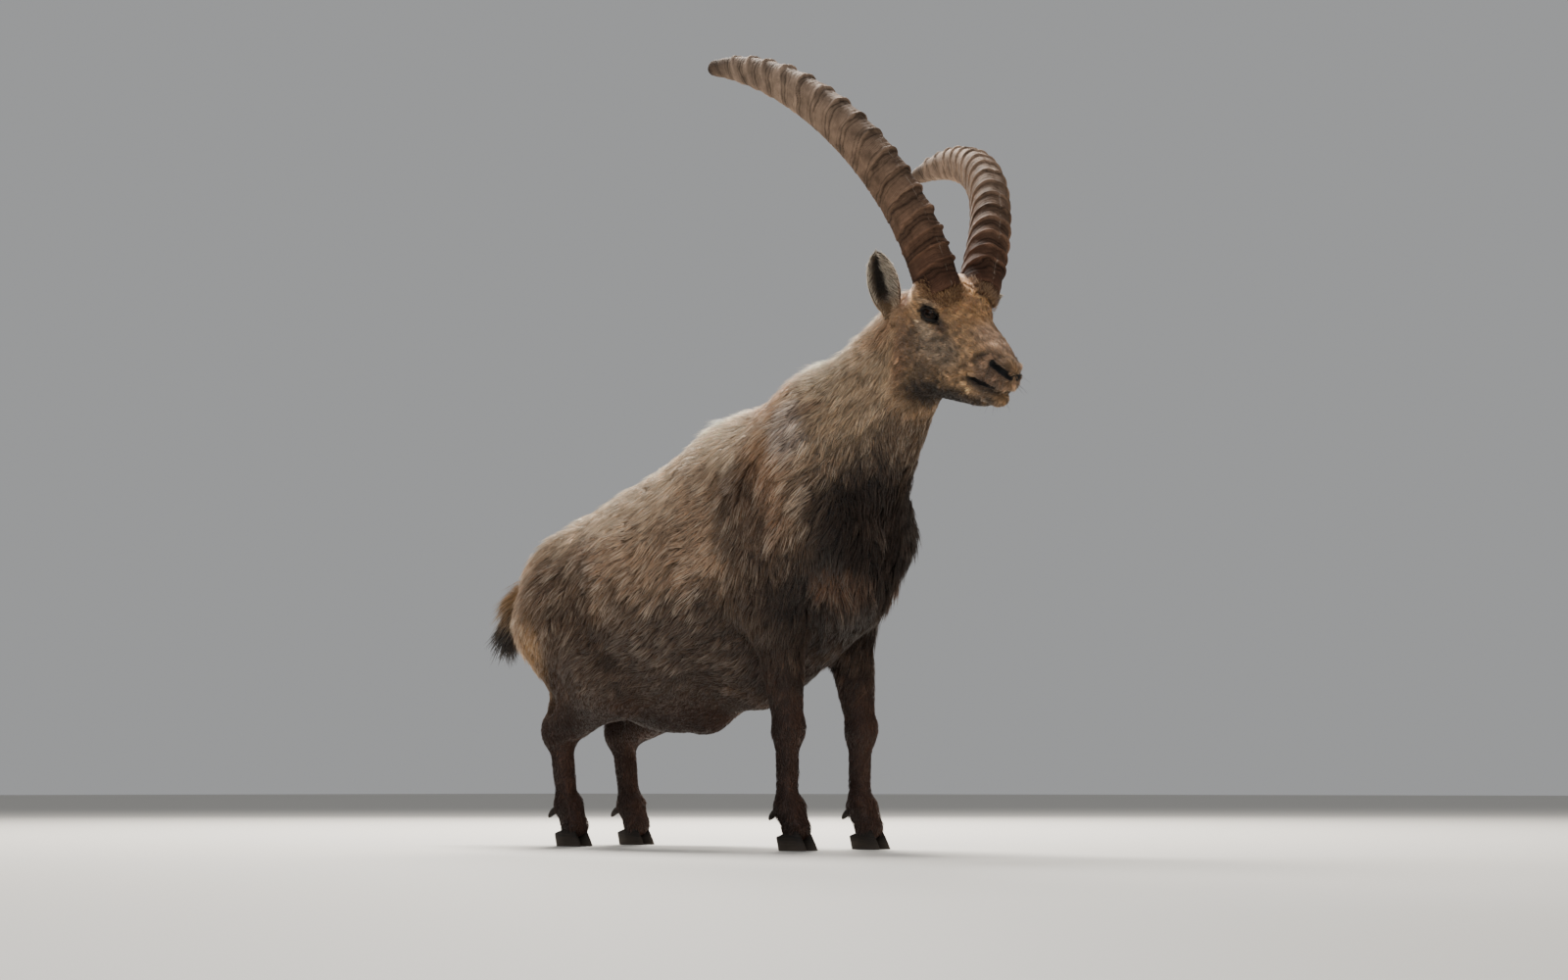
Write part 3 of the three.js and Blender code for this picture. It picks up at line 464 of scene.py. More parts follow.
def nostrilMove(q, side):
    d, along = nearLine(q, landed(mirrored(face["nostril"], side)))
    broad = 3.0 + 1.8 * np.sin(math.pi * np.clip(along * 1.1, 0, 1))
    return 1.6 * swell(d - broad - 4, 2.6) - face["nostrilDepth"] * swell(d, broad)


# the groove round the pad of the upper lip, with a swelling ahead of it
def padMove(q, side):
    pad = landed(mirrored(face["pad"], side))
    swelling = 1.6 * swell(nearLine(q, pad + vec(9, 0, -5))[0], 6)
    return swelling - face["padDepth"] * swell(nearLine(q, pad)[0], 3.4)


def foldMove(q, side):
    duct, along = nearLine(q, landed(mirrored(face["tearDuct"], side)))
    move = -1.6 * swell(duct, 1.7) * (1 - 0.6 * along)
    bone, along = nearLine(q, landed(mirrored(face["cheekbone"], side)))
    move += 1.8 * swell(bone, 7) * np.sin(math.pi * np.clip(along, 0.02, 0.98))
    folds = [(face["brow"], 2.0, 6), (face["noseFold"], -0.8, 1.8)]
    for k in range(face["cheekCreases"]):                # behind the corner of the mouth
        line = ((92 - 7 * k, 44, -40 + 3 * k), (88 - 7 * k, 45, -54), (92 - 7 * k, 42, -66))
        folds.append((line, 0.15 * k - 0.9, 1.8))
    for line, height, width in folds:
        move += height * swell(nearLine(q, landed(mirrored(line, side)))[0], width)
    return move


# moves the skin along its normals into lips, nostrils and folds, then shapes the lids
def sculptFace(p, n):
    q, m = localTo(head, p), n @ head["axes"].T
    move = -1.6 * swell(nearLine(q, landed(vec(*face["lipGroove"])))[0], 1.7)
    for side in sides:
        move += mouthMove(q, side) + nostrilMove(q, side) + foldMove(q, side) + padMove(q, side)
    q = q + m * move[:, None]
    for side in sides:
        near = np.linalg.norm(q - sided(face["eyeAt"], side), axis=1) < 40
        q[near] = sculptEye(q[near], side)
    return placeIn(head, q)


# places on the face that need the finest mesh, and how far about each
def fineSpots():
    spots = []
    for side in sides:
        spots.append((Vector(placeIn(head, (4, side * 62, 12))), 30))
        for part, reach in (("mouth", 13), ("nostril", 15)):
            spots += [(Vector(placeIn(head, place)), reach) for place in mirrored(face[part], side)]
    return spots


def refineFace(work):
    centre = Vector(placeIn(head, skinSizes["faceMiddle"]))
    forward = Vector(head["axes"][0])
    origin = Vector(head["origin"])
    spots = fineSpots()

    def onFace(f):
        c = f.calc_center_median()
        close = (c - centre).length < skinSizes["faceReach"]
        return close and (c - origin).dot(forward) > skinSizes["faceFrom"]

    def onFeature(f):
        c = f.calc_center_median()
        return any((c - spot).length < reach for spot, reach in spots)

    return splitWhere(work, onFace, 2), splitWhere(work, onFeature, 1)


def makeSkin():
    points, quads = skinBase()
    mesh = bpy.data.meshes.new("skin")
    mesh.from_pydata(points.tolist(), [], quads.tolist())
    work = bmesh.new()
    work.from_mesh(mesh)
    coarse, fine = refineFace(work)
    everyAxis = {"use_axis_x": True, "use_axis_y": True, "use_axis_z": True}
    bmesh.ops.smooth_vert(work, verts=work.verts, factor=0.5, **everyAxis)
    work.to_mesh(mesh)
    work.free()
    p = settle(coordinatesOf(mesh))
    n = unit(slopeAt(p))
    far = np.linalg.norm(p - placeIn(head, skinSizes["faceMiddle"]), axis=1)
    nearFace = far < skinSizes["faceReach"] + 10
    p[nearFace] = sculptFace(p[nearFace], n[nearFace])
    mesh.vertices.foreach_set("co", toFrame(p).ravel())
    mesh.polygons.foreach_set("use_smooth", np.ones(len(mesh.polygons), bool))
    mesh.update()
    print("skin:", len(mesh.vertices), "points,", coarse, "and", fine, "faces split")
    return mesh, p


skinMesh, skinPoints = makeSkin()
skin = linkPiece("skin", skinMesh)


# colours: sRGB hex values turned to linear
def linear(hexColour):
    parts = [int(hexColour[i:i + 2], 16) / 255 for i in (0, 2, 4)]
    return vec(*[c / 12.92 if c <= 0.04045 else ((c + 0.055) / 1.055) ** 2.4 for c in parts])


pelage = {
    "flank": "93775f",
    # darker lower flank: partly the coat's own darker colour, partly painted shade
    "lowFlank": "46362b",
    # pale back and crest: partly the coat's own colour, partly painted top light
    "back": "dfc9ad",
    "crest": "ecd9bc",
    "nape": "ad8563",
    "ochre": "94704f",
    "lilac": "b5a397",
    # dark chest coat, deepened with painted shade; under the belly it is painted shade only
    "chest": "241913",
    "belly": "5c4d37",
    "neck": "ab9276",
    "neckFront": "523f31",
    "ruddy": "8f664b",
    "thigh": "503d30",
    "rearThigh": "a07d55",
    "leg": "2c1b14",
    "legFront": "4a3023",
    "face": "ab8862",
    "gold": "d0a272",
    "crevice": "573620",
    "bridge": "c3a084",
    "cheek": "5c4a3b",
    "greyCheek": "857462",
    "muzzle": "6f5848",
    "chin": "43372c",
    # near black under the jaw: the dark coat there, deepened with painted shade
    "jaw": "17100c",
    "eyeRing": "a8927a",
    "eyeFront": "4c392c",
    "lid": "120d0a",
    # near-black nostril openings: painted shade inside them
    "nostril": "070505",
    "tailTop": "84643f",
    "tailEnd": "1d140e",
    "paleTip": "e2d6c4",
}
tint = {name: linear(value) for name, value in pelage.items()}


# a soft spot about a place: 1 within, 0 outside, the same on both sides of the body
def spot(p, where, centre, radii, soft=0.45):
    q = localTo(where, p)
    d = np.stack([q[:, 0] - centre[0], np.abs(q[:, 1]) - centre[1], q[:, 2] - centre[2]], axis=1)
    return 1 - smooth(1 - soft, 1 + soft, np.linalg.norm(d / vec(*radii), axis=1))


# markings as soft spots: colour, where it is measured, its middle on the left side, radii, strength
bodyMarks = (
    # the darker lower flank, partly painted shade
    ("lowFlank", trunk, (-230, 150, 410), (330, 120, 100), 0.8),
    ("thigh", world, (-500, 160, 430), (120, 110, 160), 0.8),
    ("nape", trunk, (60, 40, 770), (50, 80, 60), 0.7),
    ("ochre", trunk, (42, 120, 705), (52, 70, 95), 0.6),
    ("ruddy", trunk, (22, 140, 605), (50, 70, 95), 0.5),
    ("lilac", trunk, (98, 120, 715), (30, 60, 62), 0.85),
    ("crevice", trunk, (140, 95, 735), (34, 30, 10), 0.6),
    ("lowFlank", trunk, (-20, 150, 570), (70, 80, 130), 0.8),
    ("chest", trunk, (185, 60, 500), (120, 130, 125), 0.97),
    ("chest", trunk, (60, 60, 400), (150, 150, 110), 0.95),
    # painted shade under the belly, in the chest's dark colour
    ("chest", trunk, (-250, 0, 290), (300, 120, 70), 0.8),
    ("ruddy", world, (100, 70, 470), (44, 50, 36), 0.42),
    ("belly", world, (-90, 0, 268), (120, 55, 30), 0.6),
    ("rearThigh", world, (-578, 130, 345), (44, 60, 100), 0.8),
    ("leg", world, (-500, 90, 290), (95, 130, 95), 0.9),
    ("nape", head, (-150, 40, -30), (60, 70, 80), 0.75),
    # painted shade low on the belly's side, in the chest's dark colour
    ("chest", world, (-230, 100, 285), (240, 90, 62), 0.7),
)
headMarks = (
    ("ruddy", (-70, 60, -90), (42, 50, 70), 0.6),
    ("cheek", (0, 60, -50), (80, 40, 42), 0.75),
    ("greyCheek", (40, 52, -32), (52, 34, 26), 0.7),
    ("gold", (26, 0, 52), (78, 52, 44), 0.9),
    ("bridge", (108, 0, 10), (46, 28, 30), 0.8),
    ("muzzle", (152, 20, -30), (42, 34, 34), 0.9),
    ("chin", (150, 14, -80), (30, 26, 18), 0.85),
    # the dark coat under the jaw, deepened with painted shade
    ("jaw", (38, 25, -122), (100, 60, 40), 0.97),
    ("jaw", (104, 20, -98), (44, 34, 20), 0.9),
    ("eyeRing", (-12, 62, -14), (26, 22, 13), 0.9),
    ("eyeRing", (-16, 60, 34), (26, 20, 8), 0.6),
    ("eyeFront", (22, 52, 3), (15, 16, 12), 0.9),
    ("crevice", (-36, 50, 62), (52, 46, 22), 0.55),
    ("ruddy", (-100, 20, 30), (46, 60, 50), 0.85),
)
# dark lines that the coat shows on the face: line on the left side, width, colour, strength
lipLine = ((112, 39, -54), (137, 32, -57), (152, 26, -58), (166, 18, -58), (176, 4, -56))
headLines = (
    # painted shade along the mouth line, between the lips
    (lipLine, 6.5, "lid", 0.9),
    (face["pad"], 4.2, "lid", 0.8),
    # painted shade inside the nostril
    (face["nostril"], 7.0, "nostril", 0.9),
)


def lay(colour, name, weight):
    colour += np.clip(weight, 0, 1)[:, None] * (tint[name] - colour)


# the dark skin of the lids
def lidWeight(past, out, far):
    return np.where(out > 0, 1 - smooth(3.5, 7.5, past), 0) * (1 - smooth(23, 27, far))


def markNeckAndBack(colour, p, n, ragged):
    neck = onNeck(p)
    sideways = np.abs(n[:, 1])
    lay(colour, "neck", neck * 0.92)
    lay(colour, "neckFront", neck * smooth(0.0, 0.7, n @ vec(0.8, 0, -0.6)) * 0.85)
    # the back is pale where the coat faces up: partly its own pale colour, partly painted top light
    upper = smooth(0.1, 0.75, n[:, 2] + ragged) * smooth(500, 600, p[:, 2])
    lay(colour, "back", upper * (0.85 - 0.3 * smooth(0.3, 0.7, sideways)))
    for name, where, centre, radii, strength in bodyMarks:
        lay(colour, name, spot(p, where, centre, radii) * strength)
    breast = (1 - smooth(560, 690, p[:, 2] + 300 * ragged)) * smooth(30, 110, p[:, 0])
    lay(colour, "chest", (neck + 0.4) * breast * 0.95)
    # the pale crest, partly painted top light as it follows the coat that faces up, fades over the rump
    # and the loin, and leaves the withers and the poll brown
    top = smooth(0.35, 0.8, n[:, 2] + ragged) * smooth(640, 720, p[:, 2])
    top = top * (1 - 0.8 * smooth(0.25, 0.65, sideways))
    top = top * (0.5 + 0.5 * smooth(-330, -120, p[:, 0])) * smooth(-650, -560, p[:, 0])
    withers = spot(p, trunk, (50, 0, 800), (60, 90, 60))
    poll = spot(p, head, (-120, 0, 20), (60, 80, 60))
    lay(colour, "crest", top * (1 - 0.7 * withers - 0.9 * poll) * 0.9)
    lay(colour, "nape", spot(p, trunk, (36, 0, 790), (80, 80, 60)) * 0.7)


def markUnderAndLegs(colour, p, n, ragged):
    x, z = p[:, 0], p[:, 2]
    # darker towards the bottom of the body: partly the coat's own darker lower side, partly painted shade
    under = (1 - smooth(400, 530, z + 320 * ragged)) * smooth(-560, -480, x) * (1 - smooth(-40, 40, x))
    lay(colour, "lowFlank", 0.85 * under)
    behind = 1 - smooth(-470, -420, x)
    ahead = smooth(-120, -90, x)
    upperLeg = np.clip(behind * smooth(-0.9, 0.4, n[:, 0]) + ahead, 0, 1)
    lay(colour, "leg", (1 - smooth(300, 420, z)) * upperLeg * 0.9)
    lay(colour, "leg", 1 - smooth(225, 300, z))
    lay(colour, "legFront", (1 - smooth(240, 300, z)) * smooth(0.0, 0.9, n[:, 0]) * 0.6)
    tail = smooth(-690, -710, x)
    lay(colour, "tailTop", tail)
    lay(colour, "tailEnd", tail * (1 - smooth(440, 500, z)))


def markHead(colour, p):
    onFace = onHead(p)
    lay(colour, "face", onFace)
    for name, centre, radii, strength in headMarks:
        lay(colour, name, spot(p, head, centre, radii) * strength * smooth(0.2, 0.7, onFace))
    q = localTo(head, p)
    half = np.abs(q * vec(0, 1, 0)) + q * vec(1, 0, 1)       # the right side folded onto the left
    for line, width, name, strength in headLines:
        d, _ = nearLine(half, landed(vec(*line)))
        lay(colour, name, strength * swell(d, width) * onFace)
    past, out, far, _ = pastLids(half, 1)
    lay(colour, "lid", lidWeight(past, out, far))


def markingAt(p, n):
    colour = np.tile(tint["flank"], (len(p), 1))
    ragged = 0.07 * waves(p, 70, 31)
    markNeckAndBack(colour, p, n, ragged)
    markUnderAndLegs(colour, p, n, ragged)
    markHead(colour, p)
    return colour


tearLine = ((10, 56, 7), (19, 51, 1), (30, 46, -8))
# dark lines of the bare skin: line, width, colour, and how far the coat keeps clear of it;
# at the nostril and the mouth the dark is painted shade
bareLines = (
    (face["nostril"], 8.5, "nostril", 6.4),
    (face["mouth"], 6.0, "lid", 3.8),
    (tearLine, 3.4, "lid", 2.0),
)


# the skin has the coat's markings, darker, as the skin under fur is in shade
def skinMarkingAt(p, n):
    colour = markingAt(p, n) * (0.62 + 0.25 * np.maximum(onHead(p), lowOnLeg(p)))[:, None]
    q = localTo(head, p)
    for side in sides:
        past, out, far, _ = pastLids(q, side)
        lay(colour, "lid", lidWeight(past, out, far))
        for line, width, name, _ in bareLines:
            d, _ = nearLine(q, landed(mirrored(line, side)))
            lay(colour, name, 1 - smooth(0.7 * width, 1.3 * width, d))
    return colour


# the lie of the coat: places and the way that hair there is combed, on the left side
bodyGuides = (
    ((222, 0, 985), (-0.70, 0, -0.70)),          # nape
    ((90, 0, 890), (-0.76, 0, -0.62)),
    ((-60, 0, 800), (-0.90, 0, -0.40)),          # withers
    ((-250, 0, 740), (-0.95, 0, -0.30)),         # back
    ((-450, 0, 690), (-0.93, 0, -0.36)),
    ((-640, 0, 590), (-0.50, 0, -0.87)),         # rump
    ((150, 90, 800), (-0.50, 0, -0.86)),         # side of the neck
    ((60, 110, 700), (-0.58, 0, -0.80)),
    ((230, 0, 740), (-0.25, 0, -0.97)),          # throat
    ((190, 0, 620), (-0.10, 0, -1.00)),
    ((-30, 150, 600), (-0.42, 0, -0.90)),        # shoulder
    ((60, 130, 560), (-0.22, 0, -0.97)),
    ((-80, 100, 740), (-0.75, 0, -0.66)),
    ((200, 0, 520), (0.00, 0, -1.00)),           # chest
    ((150, 80, 480), (-0.10, 0, -1.00)),
    ((60, 0, 350), (-0.80, 0, -0.60)),
    ((-230, 170, 600), (-0.76, 0, -0.64)),       # flank
    ((-230, 180, 480), (-0.72, 0, -0.70)),
    ((-400, 170, 560), (-0.80, 0, -0.60)),
    ((-200, 0, 310), (-1.00, 0, 0.00)),          # belly
    ((-350, 60, 330), (-1.00, 0, -0.10)),
    ((-560, 130, 600), (-0.64, 0, -0.76)),       # thigh
    ((-600, 120, 450), (-0.35, 0, -0.94)),
    ((-690, 60, 480), (-0.10, 0, -1.00)),
    ((-450, 150, 420), (-0.55, 0, -0.83)),
    ((-10, 100, 350), (-0.10, 0, -1.00)),        # foreleg
    ((0, 90, 150), (0.00, 0, -1.00)),
    ((-580, 90, 300), (-0.20, 0, -0.98)),        # hind leg
    ((-590, 86, 150), (0.05, 0, -1.00)),
    ((-740, 0, 490), (-0.70, 0, -0.75)),         # tail
    ((-780, 0, 420), (-0.30, 0, -1.00)),
)
headGuides = (
    ((150, 0, 5), (-1.0, 0.1, 0.1)),             # nose and forehead
    ((80, 0, 25), (-1.0, 0.15, 0.15)),
    ((0, 0, 60), (-0.8, 0.3, 0.5)),
    ((-60, 0, 75), (-1.0, 0.1, 0.0)),
    ((20, 50, -40), (-0.85, 0.1, -0.5)),         # cheek and jaw
    ((20, 35, -110), (-0.8, 0.0, -0.5)),
    ((130, 35, -30), (-0.95, 0.1, -0.15)),       # muzzle and lips
    ((165, 20, -45), (-0.5, 0.3, -0.7)),
    ((165, 0, -85), (-0.6, 0.0, -0.75)),
    ((-45, 62, 5), (-0.95, 0.2, -0.2)),          # behind the eye
    ((-90, 60, -50), (-0.8, 0.0, -0.6)),
    ((-20, 0, -130), (-0.8, 0.0, -0.6)),         # throat
    ((30, 55, 20), (-0.8, 0.3, 0.3)),            # before the eye
)


def combed(q, guides, near):
    side = np.where(q[:, 1] < 0, -1.0, 1.0)
    half = q.copy()
    half[:, 1] = np.abs(q[:, 1])
    total = np.zeros_like(q)
    for place, way in guides:
        d = ((half - vec(*place)) ** 2).sum(axis=1)
        total += (1 / (d + near ** 2) ** 2)[:, None] * unit(vec(*way))
    total[:, 1] *= side
    return unit(total)


# turns a way that lies in the skin about the skin's normal
def swung(way, n, turn):
    return unit(way * np.cos(turn)[:, None] + np.cross(n, way) * np.sin(turn)[:, None])


def lieAt(p, n, swirl=0.25, seed=5):
    body = combed(p, bodyGuides, 50)
    onFace = onHead(p)[:, None]
    skull = combed(localTo(head, p), headGuides, 22) @ head["axes"]
    way = body * (1 - onFace) + skull * onFace
    way = unit(way - n * (way * n).sum(axis=1, keepdims=True))
    return swung(way, n, swirl * waves(p, 120, seed) + 0.4 * swirl * waves(p, 30, seed + 1))


# the coat: how close tufts stand, how long and wide they are in millimetres, and their lift in radians
coat = {
    "tufts": 228000,
    "spread": {"body": 1.0, "neck": 1.25, "leg": 1.3, "face": 5.6, "crest": 1.9, "tail": 2.6},
    "length": {"body": 33, "neck": 22, "leg": 12, "face": 9, "crest": 31, "chest": 40, "tail": 56},
    "width": {"body": 2.1, "neck": 1.6, "leg": 1.6, "face": 1.0, "crest": 1.3, "chest": 2.4, "tail": 1.7},
    "lift": {
        "body": 0.24, "neck": 0.22, "leg": 0.14, "face": 0.22, "crest": 0.68, "chest": 0.4, "tail": 0.42,
    },
    "lock": {"body": 22, "face": 24},              # tufts in a lock
    "gather": {"body": 0.34, "face": 0.3},         # how far a tuft leans to its lock's tip
    "clearOf": {"lids": 3.2, "horns": 20, "soles": 30},
    "eyeReach": 30,            # how far from an eye's middle its lids can lie
    "perPiece": 32000,
    "seed": 17,
}


def crestAt(p, n):
    along = smooth(-330, -120, p[:, 0]) * smooth(0.35, 0.8, n[:, 2] - 0.45 * n[:, 0])
    return along * smooth(640, 720, p[:, 2]) * (1 - onHead(p)) * smooth(0, 60, 75 - np.abs(p[:, 1] + 10))


def chestAt(p, n):
    return spot(p, trunk, (170, 0, 470), (110, 90, 150)) * smooth(-0.2, 0.5, n[:, 0])


def coatValue(kind, p, n):
    table = coat[kind]
    value = np.full(len(p), float(table["body"]))
    weights = (
        ("neck", onNeck(p)), ("chest", chestAt(p, n)), ("crest", crestAt(p, n)), ("leg", lowOnLeg(p)),
        ("tail", smooth(-712, -738, p[:, 0])), ("face", onHead(p)),
    )
    for part, weight in weights:
        if part in table:
            value += weight * (table[part] - value)
    return value


def cornersOf(mesh):
    mesh.calc_loop_triangles()
    corners = np.empty(len(mesh.loop_triangles) * 3, np.int32)
    mesh.loop_triangles.foreach_get("vertices", corners)
    return corners.reshape(-1, 3)


def vertexNormals(points, corners):
    a, b, c = (points[corners[:, i]] for i in range(3))
    cross = np.cross(b - a, c - a)
    n = np.zeros_like(points)
    for i in range(3):
        for axis in range(3):
            n[:, axis] += np.bincount(corners[:, i], cross[:, axis], len(points))
    return unit(n)


# roots spread evenly over a mesh by area and density, with the triangle that each stands in
def scatter(points, corners, density, total, rng):
    a, b, c = (points[corners[:, i]] for i in range(3))
    area = np.linalg.norm(np.cross(b - a, c - a), axis=1)
    run = np.cumsum(area * density)
    picks = (np.arange(total) + rng.uniform(0, 1, total)) / total * run[-1]
    at = np.minimum(np.searchsorted(run, picks), len(run) - 1)
    u, v = rng.uniform(0, 1, total), rng.uniform(0, 1, total)
    flip = u + v > 1
    u[flip], v[flip] = 1 - u[flip], 1 - v[flip]
    return a[at] + (b - a)[at] * u[:, None] + (c - a)[at] * v[:, None], at


# how densely each triangle of the skin is haired: bare at lids, lips, nostrils, horns and soles
def coatDensity(points, corners):
    a, b, c = (points[corners[:, i]] for i in range(3))
    middle = (a + b + c) / 3
    density = coatValue("spread", middle, unit(np.cross(b - a, c - a)))
    clearOf = coat["clearOf"]
    q = localTo(head, middle)
    for side in sides:
        past, out, far, _ = pastLids(q, side)
        density[(past < clearOf["lids"]) & (far < coat["eyeReach"]) & (out > 0)] = 0
        for line, _, _, clear in bareLines:
            d, _ = nearLine(q, landed(mirrored(line, side)))
            density[d < clear] = 0
        fromHorn = np.linalg.norm(middle - placeIn(head, sided(hornSeat, side)), axis=1)
        density[fromHorn < clearOf["horns"]] = 0
    density[middle[:, 2] < clearOf["soles"]] = 0
    return density


# every tuft joins the lock whose middle is nearest
def lockOf(p, every, rng):
    centres = rng.choice(len(p), max(1, len(p) // every), replace=False)
    tree = KDTree(len(centres))
    for i, place in enumerate(p[centres]):
        tree.insert(place, i)
    tree.balance()
    return centres[np.array([tree.find(place)[1] for place in p])]


# the unwrap that the coat and the skin share: each part is a capsule, unrolled about its axis
wraps = {
    "head": (placeIn(head, (-90, 0, -30)), placeIn(head, (130, 0, -35)), 62),
    "neck": (placeIn(trunk, (80, 0, 670)), placeIn(head, (-120, 0, -50)), 95),
    "trunk": (placeIn(trunk, (10, 0, 560)), placeIn(trunk, (-530, 0, 590)), 175),
    "foreRight": (vec(-40, -98, 400), vec(0, -90, 60), 30),
    "foreLeft": (vec(-30, 98, 400), vec(26, 84, 60), 30),
    "hindRight": (vec(-600, -100, 480), vec(-560, -88, 60), 45),
    "hindLeft": (vec(-600, 100, 480), vec(-560, 86, 60), 45),
    "tail": (vec(-700, 0, 525), vec(-786, -26, 404), 24),
}


def unrolled(p, wrap):
    a, b, radius = wrap
    axis = unit(b - a)
    reach = np.linalg.norm(b - a)
    h = np.clip((p - a) @ axis, 0, reach)
    r = p - a - h[:, None] * axis
    far = np.maximum(np.linalg.norm(r, axis=1), 1e-6)
    tip = np.arcsin(np.clip(r @ axis / far, -1, 1))
    aside = unit(np.cross(axis, vec(0, 0, 1) if abs(axis[2]) < 0.8 else vec(1, 0, 0)))
    over = np.cross(aside, axis)
    turn = np.arctan2(r @ aside, r @ over)
    return np.stack([turn * radius, h + tip * radius], axis=1), far - radius


def partOf(p):
    apart = np.stack([unrolled(p, wrap)[1] for wrap in wraps.values()], axis=1)
    return np.argmin(apart, axis=1)


# each tuft is a spindle with its root in the skin: root, three points about its middle, and tip
tuft = {
    "faces": ((1, 2, 4), (2, 3, 4), (3, 1, 4), (2, 1, 0), (3, 2, 0), (1, 3, 0)),
    "unwrapped": ((0, -1), (-1, 0), (0, 0.2), (1, 0), (0, 1)),
    "unwrapSize": 0.0014,
    "rootDeep": 2.0,           # most that a root stands in the skin
    "bendAt": 0.36,            # how far up its length a tuft is widest and bends over
    "firstLift": 1.7,          # lift below and above the bend, by the tuft's own
    "lastLift": 0.35,
}


def storeColours(mesh, colours):
    rgba = np.ones((len(mesh.vertices), 4))
    rgba[:, :3] = colours.reshape(-1, 3)
    mesh.attributes.new("pelage", "FLOAT_COLOR", "POINT").data.foreach_set("color", rgba.ravel())


def tuftPoints(roots, n, way, length, width, lift):
    across = unit(np.cross(way, n))
    low, high = (lift * tuft[key] for key in ("firstLift", "lastLift"))
    first = way * np.cos(low)[:, None] + n * np.sin(low)[:, None]
    second = way * np.cos(high)[:, None] + n * np.sin(high)[:, None]
    middle = roots + first * (tuft["bendAt"] * length)[:, None]
    half = (width / 2)[:, None]
    points = np.empty((len(roots), 5, 3))
    points[:, 0] = roots - n * np.minimum(tuft["rootDeep"], 0.15 * length)[:, None]
    points[:, 1] = middle - across * half
    points[:, 2] = middle + n * half * 0.7
    points[:, 3] = middle + across * half
    points[:, 4] = middle + second * ((1 - tuft["bendAt"]) * length)[:, None]
    return points


def tuftMesh(name, points, colours, uv):
    count = len(points)
    pattern = np.array(tuft["faces"])
    index = (np.arange(count)[:, None, None] * 5 + pattern[None]).reshape(-1)
    faces = count * len(pattern)
    mesh = bpy.data.meshes.new(name)
    mesh.vertices.add(count * 5)
    mesh.vertices.foreach_set("co", toFrame(points.reshape(-1, 3)).ravel())
    mesh.loops.add(faces * 3)
    mesh.loops.foreach_set("vertex_index", index)
    mesh.polygons.add(faces)
    mesh.polygons.foreach_set("loop_start", np.arange(0, faces * 3, 3))
    mesh.polygons.foreach_set("use_smooth", np.ones(faces, bool))
    mesh.update(calc_edges=True)
    storeColours(mesh, colours)
    patch = np.array(tuft["unwrapped"], float) * tuft["unwrapSize"]
    places = (uv[:, None, :] + patch[None]).reshape(-1, 2)
    mesh.uv_layers.new(name="OFBake").data.foreach_set("uv", places[index].ravel())
    return mesh


# root, middle and tip colours of each tuft; the callers give a darker root, painted shade between the tufts
def tuftColours(root, middle, tip):
    colours = np.empty((len(root), 5, 3))
    colours[:, 0] = root
    colours[:, 1:4] = middle[:, None]
    colours[:, 4] = tip
    return np.clip(colours, 0.003, 0.92)


# the lie, length, width and lift of each tuft once it has joined its lock, and the lock's shade
def gathered(roots, n, onFace, rng):
    way = lieAt(roots, n)
    lockSizes = [coat["lock"][part] for part in ("face", "body")]
    locks = np.where(onFace > 0.5, *[lockOf(roots, size, rng) for size in lockSizes])
    length = coatValue("length", roots, n) * rng.uniform(0.7, 1.2, len(roots))
    width = coatValue("width", roots, n) * rng.uniform(0.75, 1.25, len(roots))
    lift = coatValue("lift", roots, n) * rng.uniform(0.6, 1.5, len(roots))
    lift += 0.22 * smooth(0.6, 0.95, n[:, 2]) * smooth(500, 600, roots[:, 2]) * (1 - onFace)
    lockShade = rng.normal(0, 1, len(roots))[locks]
    lockTurn = rng.normal(0, 1, len(roots))[locks]
    curly = spot(roots, head, (10, 0, 62), (70, 54, 42))
    way = swung(way, n, lockTurn * (0.14 + 0.7 * curly) + rng.normal(0, 0.09, len(roots)))
    lift = lift * (1 + 0.15 * lockTurn) + 0.35 * curly
    length = length * (1 + 0.12 * lockShade)
    lead = roots[locks] + way[locks] * length[locks, None]
    own = roots + way * length[:, None]
    pull = np.where(onFace > 0.5, coat["gather"]["face"], coat["gather"]["body"])[:, None] * (lead - own)
    pull -= n * (pull * n).sum(axis=1, keepdims=True)
    return unit(own + pull - roots), length, width, lift, lockShade


# each tuft takes the marking at its root, shaded by lock, with pale streaks towards the tip
# and a darker root as painted shade between the tufts
def shaded(roots, n, onFace, lockShade, rng):
    base = markingAt(roots, n)
    # painted shade: on the forehead the darker locks take the crevice colour, for the shade between the curls
    forehead = spot(roots, head, (45, 0, 40), (110, 62, 62))
    dark = forehead * smooth(0.5, 1.2, lockShade)
    base = base + (0.7 * dark)[:, None] * (tint["crevice"] - base)
    own = rng.normal(0, 0.15, len(roots))
    shade = np.exp((0.17 + 0.16 * onFace) * lockShade + own + 0.10 * waves(roots, 80, 9))
    mottled = 0.22 * onFace * waves(roots, 16, 12)
    base = base * (shade * np.exp(mottled))[:, None]
    base = base * (1 + 0.05 * rng.normal(0, 1, (len(roots), 1)) * vec(1, 0, -1))
    streak = smooth(0.55, 1.3, 0.6 * lockShade + 0.8 * rng.normal(0, 1, len(roots)))
    bright = smooth(0.008, 0.12, base @ vec(0.3, 0.6, 0.1))
    pale = (0.08 + 0.62 * streak) * (1 - 0.7 * onFace) * (1 - 0.8 * lowOnLeg(roots)) * bright
    # paler tips high on the body where the coat faces up: partly the coat's own pale tips, partly painted top
    # light
    pale += 0.3 * smooth(0.2, 0.8, n[:, 2]) * smooth(540, 640, roots[:, 2]) * (1 - onFace)
    tip = base * 1.2 + pale[:, None] * (tint["paleTip"] * 0.85 - base)
    return tuftColours(base * 0.58, base * 0.97 + 0.25 * (tip - base) * pale[:, None], tip)


